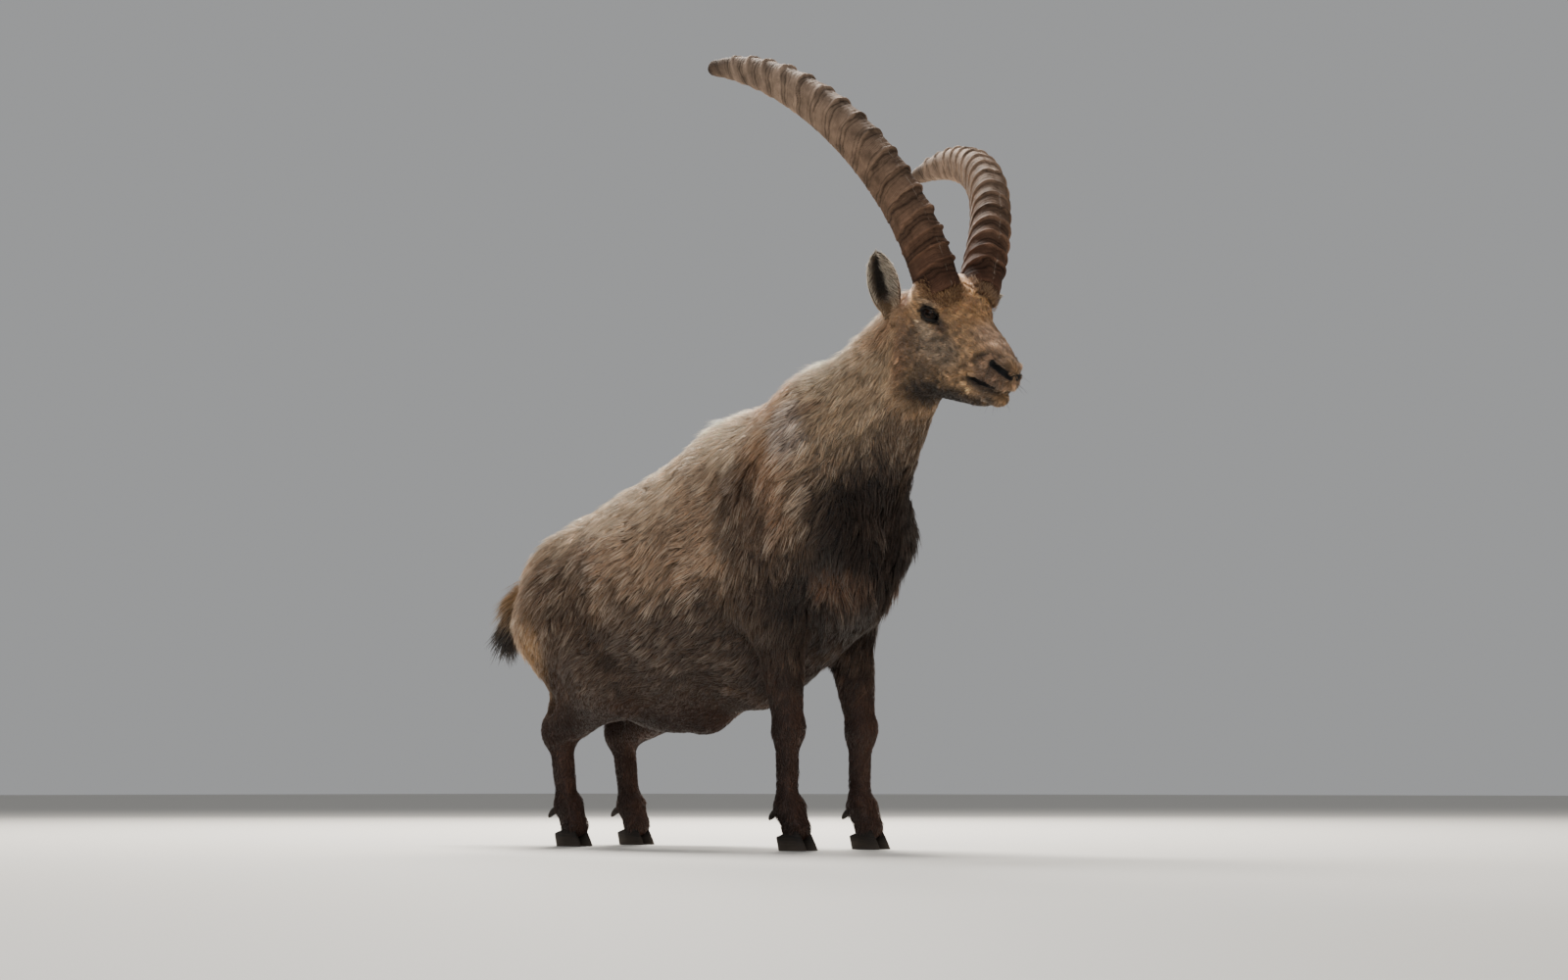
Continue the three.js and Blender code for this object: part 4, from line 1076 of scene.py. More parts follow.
# tufts of one part in order along it, in batches that each fill their own unwrap
def partBatches(partName, mine, flat):
    order = np.argsort(flat[:, 1])
    mine, flat = mine[order], flat[order]
    count = math.ceil(len(mine) / coat["perPiece"])
    for j in range(count):
        pick = slice(j * len(mine) // count, (j + 1) * len(mine) // count)
        low, high = flat[pick].min(axis=0), flat[pick].max(axis=0)
        uv = 0.01 + 0.98 * (flat[pick] - low) / np.maximum(high - low, 1e-6)
        yield f"coat_{partName}_{j}" if count > 1 else f"coat_{partName}", mine[pick], uv


def makeCoat():
    rng = np.random.default_rng(coat["seed"])
    corners = cornersOf(skinMesh)
    density = coatDensity(skinPoints, corners)
    roots, at = scatter(skinPoints, corners, density, coat["tufts"], rng)
    n = unit(vertexNormals(skinPoints, corners)[corners[at]].mean(axis=1))
    onFace = onHead(roots)
    way, length, width, lift, lockShade = gathered(roots, n, onFace, rng)
    colours = shaded(roots, n, onFace, lockShade, rng)
    points = tuftPoints(roots, n, way, length, width, lift)
    parts = partOf(roots)
    pieces = []
    for k, (partName, wrap) in enumerate(wraps.items()):
        mine = np.nonzero(parts == k)[0]
        flat, _ = unrolled(roots[mine], wrap)
        for name, who, uv in partBatches(partName, mine, flat):
            pieces.append(linkPiece(name, tuftMesh(name, points[who], colours[who], uv)))
    print("coat:", len(roots), "tufts in", len(pieces), "pieces")
    return pieces


# feeds a node's inputs: each by a node, a socket or a plain value
def plug(tree, node, feeds):
    for key, feed in feeds.items():
        if isinstance(feed, bpy.types.Node):
            feed = feed.outputs[0]
        if isinstance(feed, bpy.types.NodeSocket):
            tree.links.new(feed, node.inputs[key])
        else:
            node.inputs[key].default_value = feed


# adds one node with its settings and its links
def addNode(tree, kind, feeds=None, **settings):
    node = tree.nodes.new(kind)
    for key, value in settings.items():
        setattr(node, key, value)
    plug(tree, node, feeds or {})
    return node


def newMaterial(name):
    material = bpy.data.materials.new(name)
    material.use_nodes = True
    tree = material.node_tree
    return material, tree, tree.nodes["Principled BSDF"]


# sets the colours along a ramp: pairs of place and sRGB hex value, from low to high
def setStops(ramp, pairs):
    stops = ramp.color_ramp.elements
    for at, _ in pairs[1:-1]:
        stops.new(at)
    for stop, (at, shade) in zip(stops, pairs):
        stop.position = at
        stop.color = (*linear(shade), 1)


# dense goat hair: matt, with a little sheen along the strands, mottled in patches about 17 mm across
def hairMaterial():
    material, tree, shader = newMaterial("combed hair")
    shade = addNode(tree, "ShaderNodeAttribute", attribute_name="pelage")
    place = addNode(tree, "ShaderNodeTexCoord").outputs["Object"]
    mottle = addNode(tree, "ShaderNodeTexNoise", {
        "Vector": place, "Scale": 60, "Detail": 3, "Roughness": 0.6,
    })
    spread = addNode(tree, "ShaderNodeMapRange", {"Value": mottle, 1: 0.3, 2: 0.7, 3: 0.85, 4: 1.15})
    colour = addNode(tree, "ShaderNodeVectorMath", {0: shade, "Scale": spread}, operation="SCALE")
    plug(tree, shader, {
        "Base Color": colour, "Roughness": 0.6, "Specular IOR Level": 0.25,
        "Sheen Weight": 0.1, "Sheen Roughness": 0.4,
    })
    return material


# hide under short flat fur: matt strokes about 1 mm wide and 7 mm long, along the lie
def hideMaterial():
    material, tree, shader = newMaterial("short flat fur")
    shade = addNode(tree, "ShaderNodeAttribute", attribute_name="pelage")
    flow = addNode(tree, "ShaderNodeUVMap", uv_map="lie")
    stretch = addNode(tree, "ShaderNodeMapping", {"Vector": flow, "Scale": (0.9, 0.14, 1.0)})
    strokes = addNode(tree, "ShaderNodeTexNoise", {
        "Vector": stretch, "Scale": 1, "Detail": 2, "Roughness": 0.55,
    })
    spread = addNode(tree, "ShaderNodeMapRange", {"Value": strokes, 1: 0.3, 2: 0.7, 3: 0.65, 4: 1.3})
    colour = addNode(tree, "ShaderNodeVectorMath", {0: shade, "Scale": spread}, operation="SCALE")
    bump = addNode(tree, "ShaderNodeBump", {"Height": strokes, "Strength": 0.5, "Distance": 0.0008})
    plug(tree, shader, {"Base Color": colour, "Normal": bump, "Roughness": 0.6, "Specular IOR Level": 0.3})
    return material


# writes a flat place for each point of a mesh as a UV map
def storeUnwrap(mesh, name, flat):
    loops = np.empty(len(mesh.loops), np.int32)
    mesh.loops.foreach_get("vertex_index", loops)
    mesh.uv_layers.new(name=name).data.foreach_set("uv", flat[loops].ravel())


def dressSkin():
    normals = vertexNormals(skinPoints, cornersOf(skinMesh))
    storeColours(skinMesh, np.clip(skinMarkingAt(skinPoints, normals), 0.003, 0.9))
    parts = partOf(skinPoints)
    flat = np.zeros((len(skinPoints), 2))
    for k, wrap in enumerate(wraps.values()):
        mine = parts == k
        flat[mine], _ = unrolled(skinPoints[mine], wrap)
    storeUnwrap(skinMesh, "lie", flat)
    skinMesh.materials.append(hideMaterial())


# gives a finished piece its material and its body, and hides the solids that it stands for
def finishPiece(piece, material, *solids):
    piece.data.materials.append(material)
    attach(piece, "root")
    if solids:
        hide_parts(*solids)


dressSkin()
coatPieces = makeCoat()
hair = hairMaterial()
for piece in coatPieces:
    finishPiece(piece, hair)


# a closed shape through rings of points, in millimetres
def loftPiece(name, rings):
    count, around = len(rings), len(rings[0])
    faces = []
    for i in range(count - 1):
        for j in range(around):
            k = (j + 1) % around
            faces.append((i * around + j, i * around + k, (i + 1) * around + k, (i + 1) * around + j))
    faces += [tuple(range(around))[::-1], tuple(range((count - 1) * around, count * around))]
    mesh = bpy.data.meshes.new(name)
    mesh.from_pydata(toFrame(np.reshape(rings, (-1, 3))).tolist(), [], faces)
    turnOutwards(mesh)
    return linkPiece(name, mesh)


def turnOutwards(mesh):
    work = bmesh.new()
    work.from_mesh(mesh)
    bmesh.ops.remove_doubles(work, verts=work.verts, dist=1e-6)
    bmesh.ops.recalc_face_normals(work, faces=work.faces)
    work.to_mesh(mesh)
    work.free()
    mesh.polygons.foreach_set("use_smooth", np.ones(len(mesh.polygons), bool))
    mesh.update()


# a tree with a named input for what it grows on and for each size
def newTree(name, source, sizes, result):
    tree = bpy.data.node_groups.new(name, "GeometryNodeTree")
    sockets = tree.interface
    sockets.new_socket(name=source, in_out="INPUT", socket_type="NodeSocketGeometry")
    for label, value in sizes.items():
        sockets.new_socket(name=label, in_out="INPUT", socket_type="NodeSocketFloat").default_value = value
    sockets.new_socket(name=result, in_out="OUTPUT", socket_type="NodeSocketGeometry")
    return tree, addNode(tree, "NodeGroupInput").outputs


# what the source's points carry, read by name
def readStored(tree, kinds):
    stored = {}
    for label, kind in kinds.items():
        node = addNode(tree, "GeometryNodeInputNamedAttribute", {"Name": label}, data_type=kind)
        stored[label] = node.outputs["Attribute"]
    return stored


def endTree(tree, shape, material, result):
    real = addNode(tree, "GeometryNodeRealizeInstances", {"Geometry": shape})
    coated = addNode(tree, "GeometryNodeSetMaterial", {"Geometry": real, "Material": material})
    addNode(tree, "NodeGroupOutput", {result: coated})


# a source of points in millimetres, with values for a tree to read
def sourceOf(points, edges, values):
    mesh = bpy.data.meshes.new("source")
    mesh.from_pydata(toFrame(points).tolist(), edges, [])
    for label, value in values.items():
        value = np.ascontiguousarray(value, float)
        kind, key = ("FLOAT_VECTOR", "vector") if value.ndim == 2 else ("FLOAT", "value")
        mesh.attributes.new(label, kind, "POINT").data.foreach_set(key, value.ravel())
    return linkPiece("source", mesh)


# turns what a tree makes of its source into a plain mesh object
def grow(source, tree, name, sizes):
    modifier = source.modifiers.new("growth", "NODES")
    modifier.node_group = tree
    sockets = {item.name: item.identifier for item in tree.interface.items_tree if item.in_out == "INPUT"}
    for label, value in sizes.items():
        modifier[sockets[label]] = value
    graph = bpy.context.evaluated_depsgraph_get()
    mesh = bpy.data.meshes.new_from_object(source.evaluated_get(graph))
    source.modifiers.remove(modifier)
    bpy.data.objects.remove(source)
    mesh.name = name
    return linkPiece(name, mesh)


# horns: grown along a curve by Geometry Nodes, with knobs in front and growth rings all round
hornSizes = {
    # length in millimetres, then degrees: how the curve starts, bends and eases, and how it leans outwards
    "right": {
        "length": 724, "start": 34.1, "bend": 93.2, "ease": -33.4,
        "lean": 30.1, "splay": 0.2, "twist": -30.3,
    },
    "left": {
        "length": 694, "start": 46.1, "bend": 101.7, "ease": -48.6,
        "lean": 34.1, "splay": 2.2, "twist": -23.4,
    },
    "root": (-39, 49, 70),
    "sunk": 0.075,             # of its length that stands in the head
    "stations": 640,
    "around": 68,
    "halfDepth": 42.0,
    "halfWidth": 33.0,
    "knobs": 16,
    "firstKnob": 0.035,
    "knobSpan": 0.84,
    "knobHeight": 6.6,
    "ringHeight": 1.7,
    "ringSpacing": 8.6,
    "seed": 3.0,
}


# the axis of a horn: how far along, the points, and the ways along, to the front and to the side
def hornPath(side):
    horn = hornSizes[sides[side]]
    s = np.linspace(-hornSizes["sunk"], 1, hornSizes["stations"])
    tilt = np.radians(horn["start"] + horn["bend"] * s + horn["ease"] * s * s / 2)
    out = np.radians(horn["lean"] + horn["twist"] * s)
    splay = math.radians(horn["splay"])
    across = np.sin(tilt) * np.sin(out) + np.cos(tilt) * math.sin(splay)
    local = np.stack([-np.sin(tilt) * np.cos(out), side * across, np.cos(tilt) * math.cos(splay)], axis=1)
    along = unit(wayIn(head, local))
    step = horn["length"] * (s[1] - s[0])
    run = np.vstack([np.zeros(3), np.cumsum((along[1:] + along[:-1]) / 2 * step, axis=0)])
    root = placeIn(head, sided(hornSizes["root"], side))
    points = run - run[int(np.argmin(np.abs(s)))] + root
    sideways = wayIn(head, (0, side, 0))
    wide = unit(sideways - along * (along @ sideways)[:, None])
    front = -side * np.cross(along, wide)
    return s, points, along, front, wide


# what changes along the horn: its size, and where the knobs and the rings come
def hornGrowth(s, length):
    up = np.clip(s, 0, 1)
    taper = 1 - 0.2 * up - 0.12 * up ** 2 - 0.42 * up ** 4
    tipRound = np.sqrt(np.clip((1 - s) / 0.025, 0.0002, 1))
    sunk = 0.62 + 0.38 * smooth(-hornSizes["sunk"], -0.008, s)
    past = s - hornSizes["firstKnob"]
    knobTurn = (hornSizes["knobs"] - 1) * np.clip(past / hornSizes["knobSpan"], 0, None) ** (1 / 1.2)
    return {
        "grown": s,
        "size": taper * tipRound * sunk,
        "knobTurn": np.where(past < 0, past / 0.06, knobTurn),
        "knobRise": smooth(0.94, 0.86, s) * (0.55 + 0.45 * taper),
        "ringTurn": s * length / hornSizes["ringSpacing"],
    }


# knobs: steep towards the root, thin at the crest, easy towards the tip, lower behind
def knobNodes(tree, stored, ahead, aside, uneven):
    turn = addNode(tree, "ShaderNodeMath", {0: stored["knobTurn"], 1: uneven}, operation="ADD")
    whole = addNode(tree, "ShaderNodeMath", {0: turn, 1: 0.17}, operation="ADD")
    part = addNode(tree, "ShaderNodeMath", {0: whole}, operation="FRACT")
    steep = addNode(tree, "ShaderNodeMapRange", {"Value": part, 1: 0.36, 2: 0.475, 3: 0.0, 4: 1.0},
                    interpolation_type="SMOOTHERSTEP")
    lip = addNode(tree, "ShaderNodeMapRange", {"Value": part, 1: 0.485, 2: 0.62, 3: 0.5, 4: 0.0},
                  interpolation_type="SMOOTHSTEP")
    easy = addNode(tree, "ShaderNodeMapRange", {"Value": part, 1: 0.5, 2: 1.0, 3: 0.5, 4: 0.0},
                   interpolation_type="SMOOTHSTEP")
    fall = addNode(tree, "ShaderNodeMath", {0: lip, 1: easy}, operation="ADD")
    crest = addNode(tree, "ShaderNodeMath", {0: steep, 1: fall}, operation="MULTIPLY")
    inFront = addNode(tree, "ShaderNodeMapRange", {"Value": ahead, 1: -0.6, 2: 0.7, 3: 0.26, 4: 1.0},
                      interpolation_type="SMOOTHSTEP")
    absAside = addNode(tree, "ShaderNodeMath", {0: aside}, operation="ABSOLUTE")
    cornered = addNode(tree, "ShaderNodeMath", {0: absAside, 1: 0.4, 2: 0.7}, operation="MULTIPLY_ADD")
    strong = addNode(tree, "ShaderNodeMath", {0: inFront, 1: cornered}, operation="MULTIPLY")
    lasting = addNode(tree, "ShaderNodeMath", {0: strong, 1: stored["knobRise"]}, operation="MULTIPLY")
    return addNode(tree, "ShaderNodeMath", {0: crest, 1: lasting}, operation="MULTIPLY")


# growth rings: uneven folds with creases between them
def ringNodes(tree, stored, back, seed):
    jitter = addNode(tree, "ShaderNodeTexNoise", {
        "W": seed, "Scale": 22, "Detail": 3.5,
    }, noise_dimensions="4D")
    bent = addNode(tree, "ShaderNodeMath", {0: back, 1: 3.2, 2: stored["ringTurn"]}, operation="MULTIPLY_ADD")
    turn = addNode(tree, "ShaderNodeMath", {0: jitter, 1: 4.6, 2: bent}, operation="MULTIPLY_ADD")
    wave = addNode(tree, "ShaderNodeMath", {0: turn, 1: math.pi}, operation="MULTIPLY")
    sine = addNode(tree, "ShaderNodeMath", {0: wave}, operation="SINE")
    rise = addNode(tree, "ShaderNodeMath", {0: sine}, operation="ABSOLUTE")
    creased = addNode(tree, "ShaderNodeMath", {0: rise, 1: 0.42}, operation="POWER")
    slow = addNode(tree, "ShaderNodeMath", {0: turn, 1: math.pi * 0.41}, operation="MULTIPLY")
    slowSine = addNode(tree, "ShaderNodeMath", {0: slow}, operation="SINE")
    folds = addNode(tree, "ShaderNodeMath", {0: slowSine, 1: 0.4, 2: creased}, operation="MULTIPLY_ADD")
    return turn, folds


# the section: a rounded box, narrower behind, that the knobs and rings stand on
def sectionNodes(tree, stored, given, angle, ahead, aside, relief):
    twice = addNode(tree, "ShaderNodeMath", {0: angle, 1: 2.0}, operation="MULTIPLY")
    corner = addNode(tree, "ShaderNodeMath", {0: twice}, operation="SINE")
    absCorner = addNode(tree, "ShaderNodeMath", {0: corner}, operation="ABSOLUTE")
    boxy = addNode(tree, "ShaderNodeMath", {0: absCorner, 1: 0.1, 2: 1.0}, operation="MULTIPLY_ADD")
    broad = addNode(tree, "ShaderNodeMath", {0: boxy, 1: stored["size"]}, operation="MULTIPLY")
    slim = addNode(tree, "ShaderNodeMapRange", {"Value": ahead, 1: -0.5, 2: 0.2, 3: 0.86, 4: 1.0},
                   interpolation_type="SMOOTHSTEP")
    slimBroad = addNode(tree, "ShaderNodeMath", {0: broad, 1: slim}, operation="MULTIPLY")
    lowRelief = addNode(tree, "ShaderNodeMath", {0: relief, 1: 0.55}, operation="MULTIPLY")
    depth = addNode(tree, "ShaderNodeMath", {0: broad, 1: given["Half depth"], 2: relief},
                    operation="MULTIPLY_ADD")
    width = addNode(tree, "ShaderNodeMath", {0: slimBroad, 1: given["Half width"], 2: lowRelief},
                    operation="MULTIPLY_ADD")
    toFront = addNode(tree, "ShaderNodeMath", {0: ahead, 1: depth}, operation="MULTIPLY")
    toSide = addNode(tree, "ShaderNodeMath", {0: aside, 1: width}, operation="MULTIPLY")
    forward = addNode(tree, "ShaderNodeVectorMath", {0: stored["front"], "Scale": toFront}, operation="SCALE")
    outward = addNode(tree, "ShaderNodeVectorMath", {0: stored["wide"], "Scale": toSide}, operation="SCALE")
    both = addNode(tree, "ShaderNodeVectorMath", {0: forward, 1: outward}, operation="ADD")
    return addNode(tree, "ShaderNodeVectorMath", {0: both, 1: stored["axisPlace"]}, operation="ADD")


# a circle swept along the axis, each point knowing its turn and its place on the axis
def sweptNodes(tree, axis):
    curve = addNode(tree, "GeometryNodeMeshToCurve", {"Mesh": axis})
    circle = addNode(tree, "GeometryNodeCurvePrimitiveCircle", {
        "Resolution": hornSizes["around"], "Radius": 0.03,
    })
    factor = addNode(tree, "GeometryNodeSplineParameter")
    marked = addNode(tree, "GeometryNodeStoreNamedAttribute", {
        "Geometry": circle, "Name": "round", "Value": factor,
    }, data_type="FLOAT", domain="POINT")
    middle = addNode(tree, "GeometryNodeInputPosition")
    placed = addNode(tree, "GeometryNodeStoreNamedAttribute", {
        "Geometry": curve, "Name": "axisPlace", "Value": middle,
    }, data_type="FLOAT_VECTOR", domain="POINT")
    return addNode(tree, "GeometryNodeCurveToMesh", {
        "Curve": placed, "Profile Curve": marked, "Fill Caps": True,
    })


# how high the surface stands over the section: knobs, and rings that are worn in patches
def reliefNodes(tree, given, ridge, folds, ragged):
    low = addNode(tree, "ShaderNodeMath", {0: folds, 1: 0.8}, operation="SUBTRACT")
    worn = addNode(tree, "ShaderNodeMapRange", {"Value": ragged, 1: 0.35, 2: 0.65, 3: 0.25, 4: 1.3})
    partly = addNode(tree, "ShaderNodeMath", {0: low, 1: worn}, operation="MULTIPLY")
    fine = addNode(tree, "ShaderNodeMath", {0: partly, 1: given["Ring height"]}, operation="MULTIPLY")
    return addNode(tree, "ShaderNodeMath", {0: ridge, 1: given["Knob height"], 2: fine},
                   operation="MULTIPLY_ADD")


def hornTree(material):
    labels = {"Half depth": "halfDepth", "Half width": "halfWidth", "Knob height": "knobHeight",
              "Ring height": "ringHeight"}
    sizes = {label: hornSizes[key] / 1000 for label, key in labels.items()}
    sizes["Seed"] = hornSizes["seed"]
    tree, given = newTree("horn growth", "Axis", sizes, "Horn")
    stored = readStored(tree, {
        "size": "FLOAT", "knobTurn": "FLOAT", "knobRise": "FLOAT", "ringTurn": "FLOAT", "round": "FLOAT",
        "front": "FLOAT_VECTOR", "wide": "FLOAT_VECTOR", "axisPlace": "FLOAT_VECTOR",
    })
    shaped = sweptNodes(tree, given["Axis"])
    angle = addNode(tree, "ShaderNodeMath", {0: stored["round"], 1: 2 * math.pi}, operation="MULTIPLY")
    ahead = addNode(tree, "ShaderNodeMath", {0: angle}, operation="COSINE")
    aside = addNode(tree, "ShaderNodeMath", {0: angle}, operation="SINE")
    # knobs and rings are swept back along the sides, and wander a little
    back = addNode(tree, "ShaderNodeMath", {0: ahead, 1: -0.34, 2: 0.34}, operation="MULTIPLY_ADD")
    wander = addNode(tree, "ShaderNodeTexNoise", {
        "Vector": stored["axisPlace"], "W": given["Seed"], "Scale": 9, "Detail": 1,
    }, noise_dimensions="4D")
    ragged = addNode(tree, "ShaderNodeTexNoise", {
        "W": given["Seed"], "Scale": 60, "Detail": 2,
    }, noise_dimensions="4D")
    late = addNode(tree, "ShaderNodeMath", {0: wander, 1: 0.5, 2: back}, operation="MULTIPLY_ADD")
    uneven = addNode(tree, "ShaderNodeMath", {0: ragged, 1: 0.16, 2: late}, operation="MULTIPLY_ADD")
    ridge = knobNodes(tree, stored, ahead, aside, uneven)
    ringTurn, folds = ringNodes(tree, stored, back, given["Seed"])
    relief = reliefNodes(tree, given, ridge, folds, ragged)
    there = sectionNodes(tree, stored, given, angle, ahead, aside, relief)
    for label, value in (("ridge", ridge), ("folds", folds), ("creases", ringTurn)):
        shaped = addNode(tree, "GeometryNodeStoreNamedAttribute", {
            "Geometry": shaped, "Name": label, "Value": value,
        }, data_type="FLOAT", domain="POINT")
    moved = addNode(tree, "GeometryNodeSetPosition", {"Geometry": shaped, "Position": there})
    endTree(tree, moved, material, "Horn")
    return tree


# fine creases about 2 mm apart, coarser than the real ones so that they show: 0 in a crease, 1 between
def creaseNodes(tree, creases):
    turned = addNode(tree, "ShaderNodeMath", {0: creases, 1: math.pi * 3.3}, operation="MULTIPLY")
    sine = addNode(tree, "ShaderNodeMath", {0: turned}, operation="SINE")
    rise = addNode(tree, "ShaderNodeMath", {0: sine}, operation="ABSOLUTE")
    return addNode(tree, "ShaderNodeMath", {0: rise, 1: 0.5}, operation="POWER")


# lighter and darker: patches, a painted highlight on the knobs, and painted shade in the furrows between the
# rings and in the fine lines
def toneNodes(tree, patches, ridge, folds, fineCrease):
    tone = addNode(tree, "ShaderNodeMapRange", {"Value": patches, 1: 0.34, 2: 0.66, 3: 0.6, 4: 1.3})
    knobHighlight = addNode(tree, "ShaderNodeMapRange", {"Value": ridge, 1: 0.05, 2: 0.8, 3: 0.9, 4: 1.45})
    furrowShade = addNode(tree, "ShaderNodeMapRange", {"Value": folds, 1: 0.05, 2: 0.85, 3: 0.4, 4: 1.22})
    crisp = addNode(tree, "ShaderNodeMapRange", {"Value": patches, 1: 0.4, 2: 0.6, 3: 0.9, 4: 0.55})
    creaseShade = addNode(tree, "ShaderNodeMapRange", {"Value": fineCrease, 1: 0.15, 2: 0.8, 3: crisp, 4: 1.06})
    for shade in (knobHighlight, furrowShade, creaseShade):
        tone = addNode(tree, "ShaderNodeMath", {0: tone, 1: shade}, operation="MULTIPLY")
    return tone


# a pale scuffed line down the middle of the front
def scuffNodes(tree, around, patches):
    centred = addNode(tree, "ShaderNodeMath", {0: around, 1: 0.5}, operation="SUBTRACT")
    apart = addNode(tree, "ShaderNodeMath", {0: centred}, operation="ABSOLUTE")
    scuff = addNode(tree, "ShaderNodeMapRange", {"Value": apart, 1: 0.480, 2: 0.497, 3: 0.0, 4: 1.0})
    broken = addNode(tree, "ShaderNodeMapRange", {"Value": patches, 1: 0.48, 2: 0.62, 3: 0.0, 4: 0.5})
    return addNode(tree, "ShaderNodeMath", {0: scuff, 1: broken}, operation="MULTIPLY")


# horn sheath of keratin: dull and dry, with patches about 26 mm across and grain of 2 mm,
# creased along the growth rings and red-brown at the root, with painted shade in the furrows and creases
# and a painted highlight on the knobs
def hornMaterial():
    material, tree, shader = newMaterial("horn keratin")
    grown, ridge, folds, creases, around = (
        addNode(tree, "ShaderNodeAttribute", attribute_name=label).outputs["Fac"]
        for label in ("grown", "ridge", "folds", "creases", "round")
    )
    place = addNode(tree, "ShaderNodeTexCoord").outputs["Object"]
    growth = addNode(tree, "ShaderNodeValToRGB", {"Fac": grown})
    setStops(growth, ((0, "402c22"), (0.07, "523c2f"), (0.3, "6b5748"), (0.62, "847060"), (0.86, "7c6a5c"),
                      (1, "42352c")))
    patches = addNode(tree, "ShaderNodeTexNoise", {
        "Vector": place, "Scale": 38, "Detail": 6, "Roughness": 0.66,
    })
    fineCrease = creaseNodes(tree, creases)
    tone = toneNodes(tree, patches, ridge, folds, fineCrease)
    colour = addNode(tree, "ShaderNodeVectorMath", {0: growth, "Scale": tone}, operation="SCALE")
    scuffed = scuffNodes(tree, around, patches)
    pale = (*linear("a99a8a"), 1)
    worn = addNode(tree, "ShaderNodeMix", {0: scuffed, 6: colour, 7: pale}, data_type="RGBA")
    grain = addNode(tree, "ShaderNodeTexNoise", {
        "Vector": place, "Scale": 460, "Detail": 4, "Roughness": 0.6,
    })
    pitted = addNode(tree, "ShaderNodeMath", {0: fineCrease, 1: 1.6, 2: grain}, operation="MULTIPLY_ADD")
    bump = addNode(tree, "ShaderNodeBump", {"Height": pitted, "Strength": 0.4, "Distance": 0.0009})
    plug(tree, shader, {
        "Base Color": worn.outputs[2], "Normal": bump, "Roughness": 0.75, "Specular IOR Level": 0.1,
    })
    return material


def makeHorns():
    material = hornMaterial()
    tree = hornTree(material)
    for side, name in sides.items():
        s, points, _, front, wide = hornPath(side)
        values = hornGrowth(s, hornSizes[name]["length"])
        edges = [(i, i + 1) for i in range(len(points) - 1)]
        axis = sourceOf(points, edges, {**values, "front": front, "wide": wide})
        horn = grow(axis, tree, f"horn_{name}_grown", {"Seed": hornSizes["seed"] + side})
        turnOutwards(horn.data)
        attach(horn, "root")
        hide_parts(f"horn_{name}")
    print("horns grown")


makeHorns()


# collars: curly hair that closes round the root of each horn
collar = {
    "tufts": 12000,
    "length": (6, 13),
    "width": 1.1,
    "low": -55.0,              # from the horn's root, along it
    "high": 16.0,
    "eyeClear": 34,
    "seed": 61,
}


# hair grows only where the skin is near, higher up the horn in front than behind, and clear of the eye
def collarRoots(side, rng):
    s, points, along, front, wide = hornPath(side)
    start = int(np.argmin(np.abs(s)))
    turn = rng.uniform(0, 2 * math.pi, collar["tufts"])
    reach = rng.uniform(0.86, 1.08, collar["tufts"])
    radial = front[start] * (np.cos(turn) * hornSizes["halfDepth"])[:, None]
    radial = radial + wide[start] * (np.sin(turn) * hornSizes["halfWidth"])[:, None]
    rise = rng.uniform(collar["low"], collar["high"], collar["tufts"])
    roots = points[start] + radial * reach[:, None] + along[start] * rise[:, None]
    outside = fieldAt(roots)
    frontal = smooth(0.0, 0.8, np.cos(turn - 0.25))
    eye = placeIn(head, sided(face["eyeAt"], side))
    keep = (outside > -8) & (outside < -6 + 24 * frontal) & (rise < -18 + 34 * frontal)
    keep &= np.linalg.norm(roots - eye, axis=1) > collar["eyeClear"]
    outward = unit(radial)[keep]
    roots = roots[keep] - outward * np.maximum(outside[keep], 0)[:, None] * 0.5
    return roots, outward, turn[keep], along[start]


def makeCollar(side, name):
    rng = np.random.default_rng(collar["seed"] + side)
    roots, outward, turn, along = collarRoots(side, rng)
    total = len(roots)
    tangent = np.cross(along, outward)
    way = unit(0.8 * along + 0.5 * outward + tangent * rng.normal(0, 0.45, total)[:, None])
    n = unit(outward - way * (outward * way).sum(axis=1, keepdims=True))
    length = rng.uniform(*collar["length"], total)
    mixed = rng.uniform(0, 1, (total, 1)) ** 1.4
    base = tint["crevice"] + mixed * (tint["face"] - tint["crevice"])
    backward = smooth(0.1, 0.8, -np.cos(turn))[:, None]
    base = base + 0.75 * backward * (tint["ruddy"] * 0.6 - base)
    # the darker root is painted shade between the tufts
    colours = tuftColours(base * 0.4, base * 0.95, base * 1.2)
    uv = np.stack([0.03 + 0.94 * turn / (2 * math.pi), rng.uniform(0.05, 0.95, total)], axis=1)
    width, lift = np.full(total, collar["width"]), rng.uniform(-0.1, 0.35, total)
    points = tuftPoints(roots, n, way, length, width, lift)
    finishPiece(linkPiece(f"collar_{name}", tuftMesh(f"collar_{name}", points, colours, uv)), hair)


for side, name in sides.items():
    makeCollar(side, name)
print("collars set")


# ears: a leaf with a cup in its front face, fringed with pale hair
earSizes = {
    "length": 110.0,
    "width": 54.0,
    "right": {"way": (-0.42, -0.3, 0.86), "facing": (0.76, -0.5, 0.3)},
    "left": {"way": (-0.05, 0.92, 0.4), "facing": (0.95, 0.1, 0.15)},
    "rings": 38,
    "half": 24,                # points round each of its two faces
    "wall": (3.0, 1.7),        # thickness at the root and at the tip
}
earFur = {
    "tufts": 6500,
    "length": (13, 8),         # in the cup, then on the back
    "width": (0.9, 1.2),
    "lift": (0.34, 0.14),
    "colour": ("665b4d", "74664f"),
    "shade": "1a1410",         # deep in the cup
    "streak": "cdc1ae",        # long pale hairs that reach in from the inner edge
    "rim": "d9ccb8",
}


def earShape(side):
    ear = earSizes[sides[side]]
    along = unit(wayIn(head, ear["way"]))
    across = unit(np.cross(along, unit(wayIn(head, ear["facing"]))))
    return along, across, np.cross(across, along)


def earWidthAt(t):
    return earSizes["width"] / 2 * np.maximum(0.1, np.sin(np.pi * (0.1 + 0.9 * t) ** 0.98) ** 0.56)


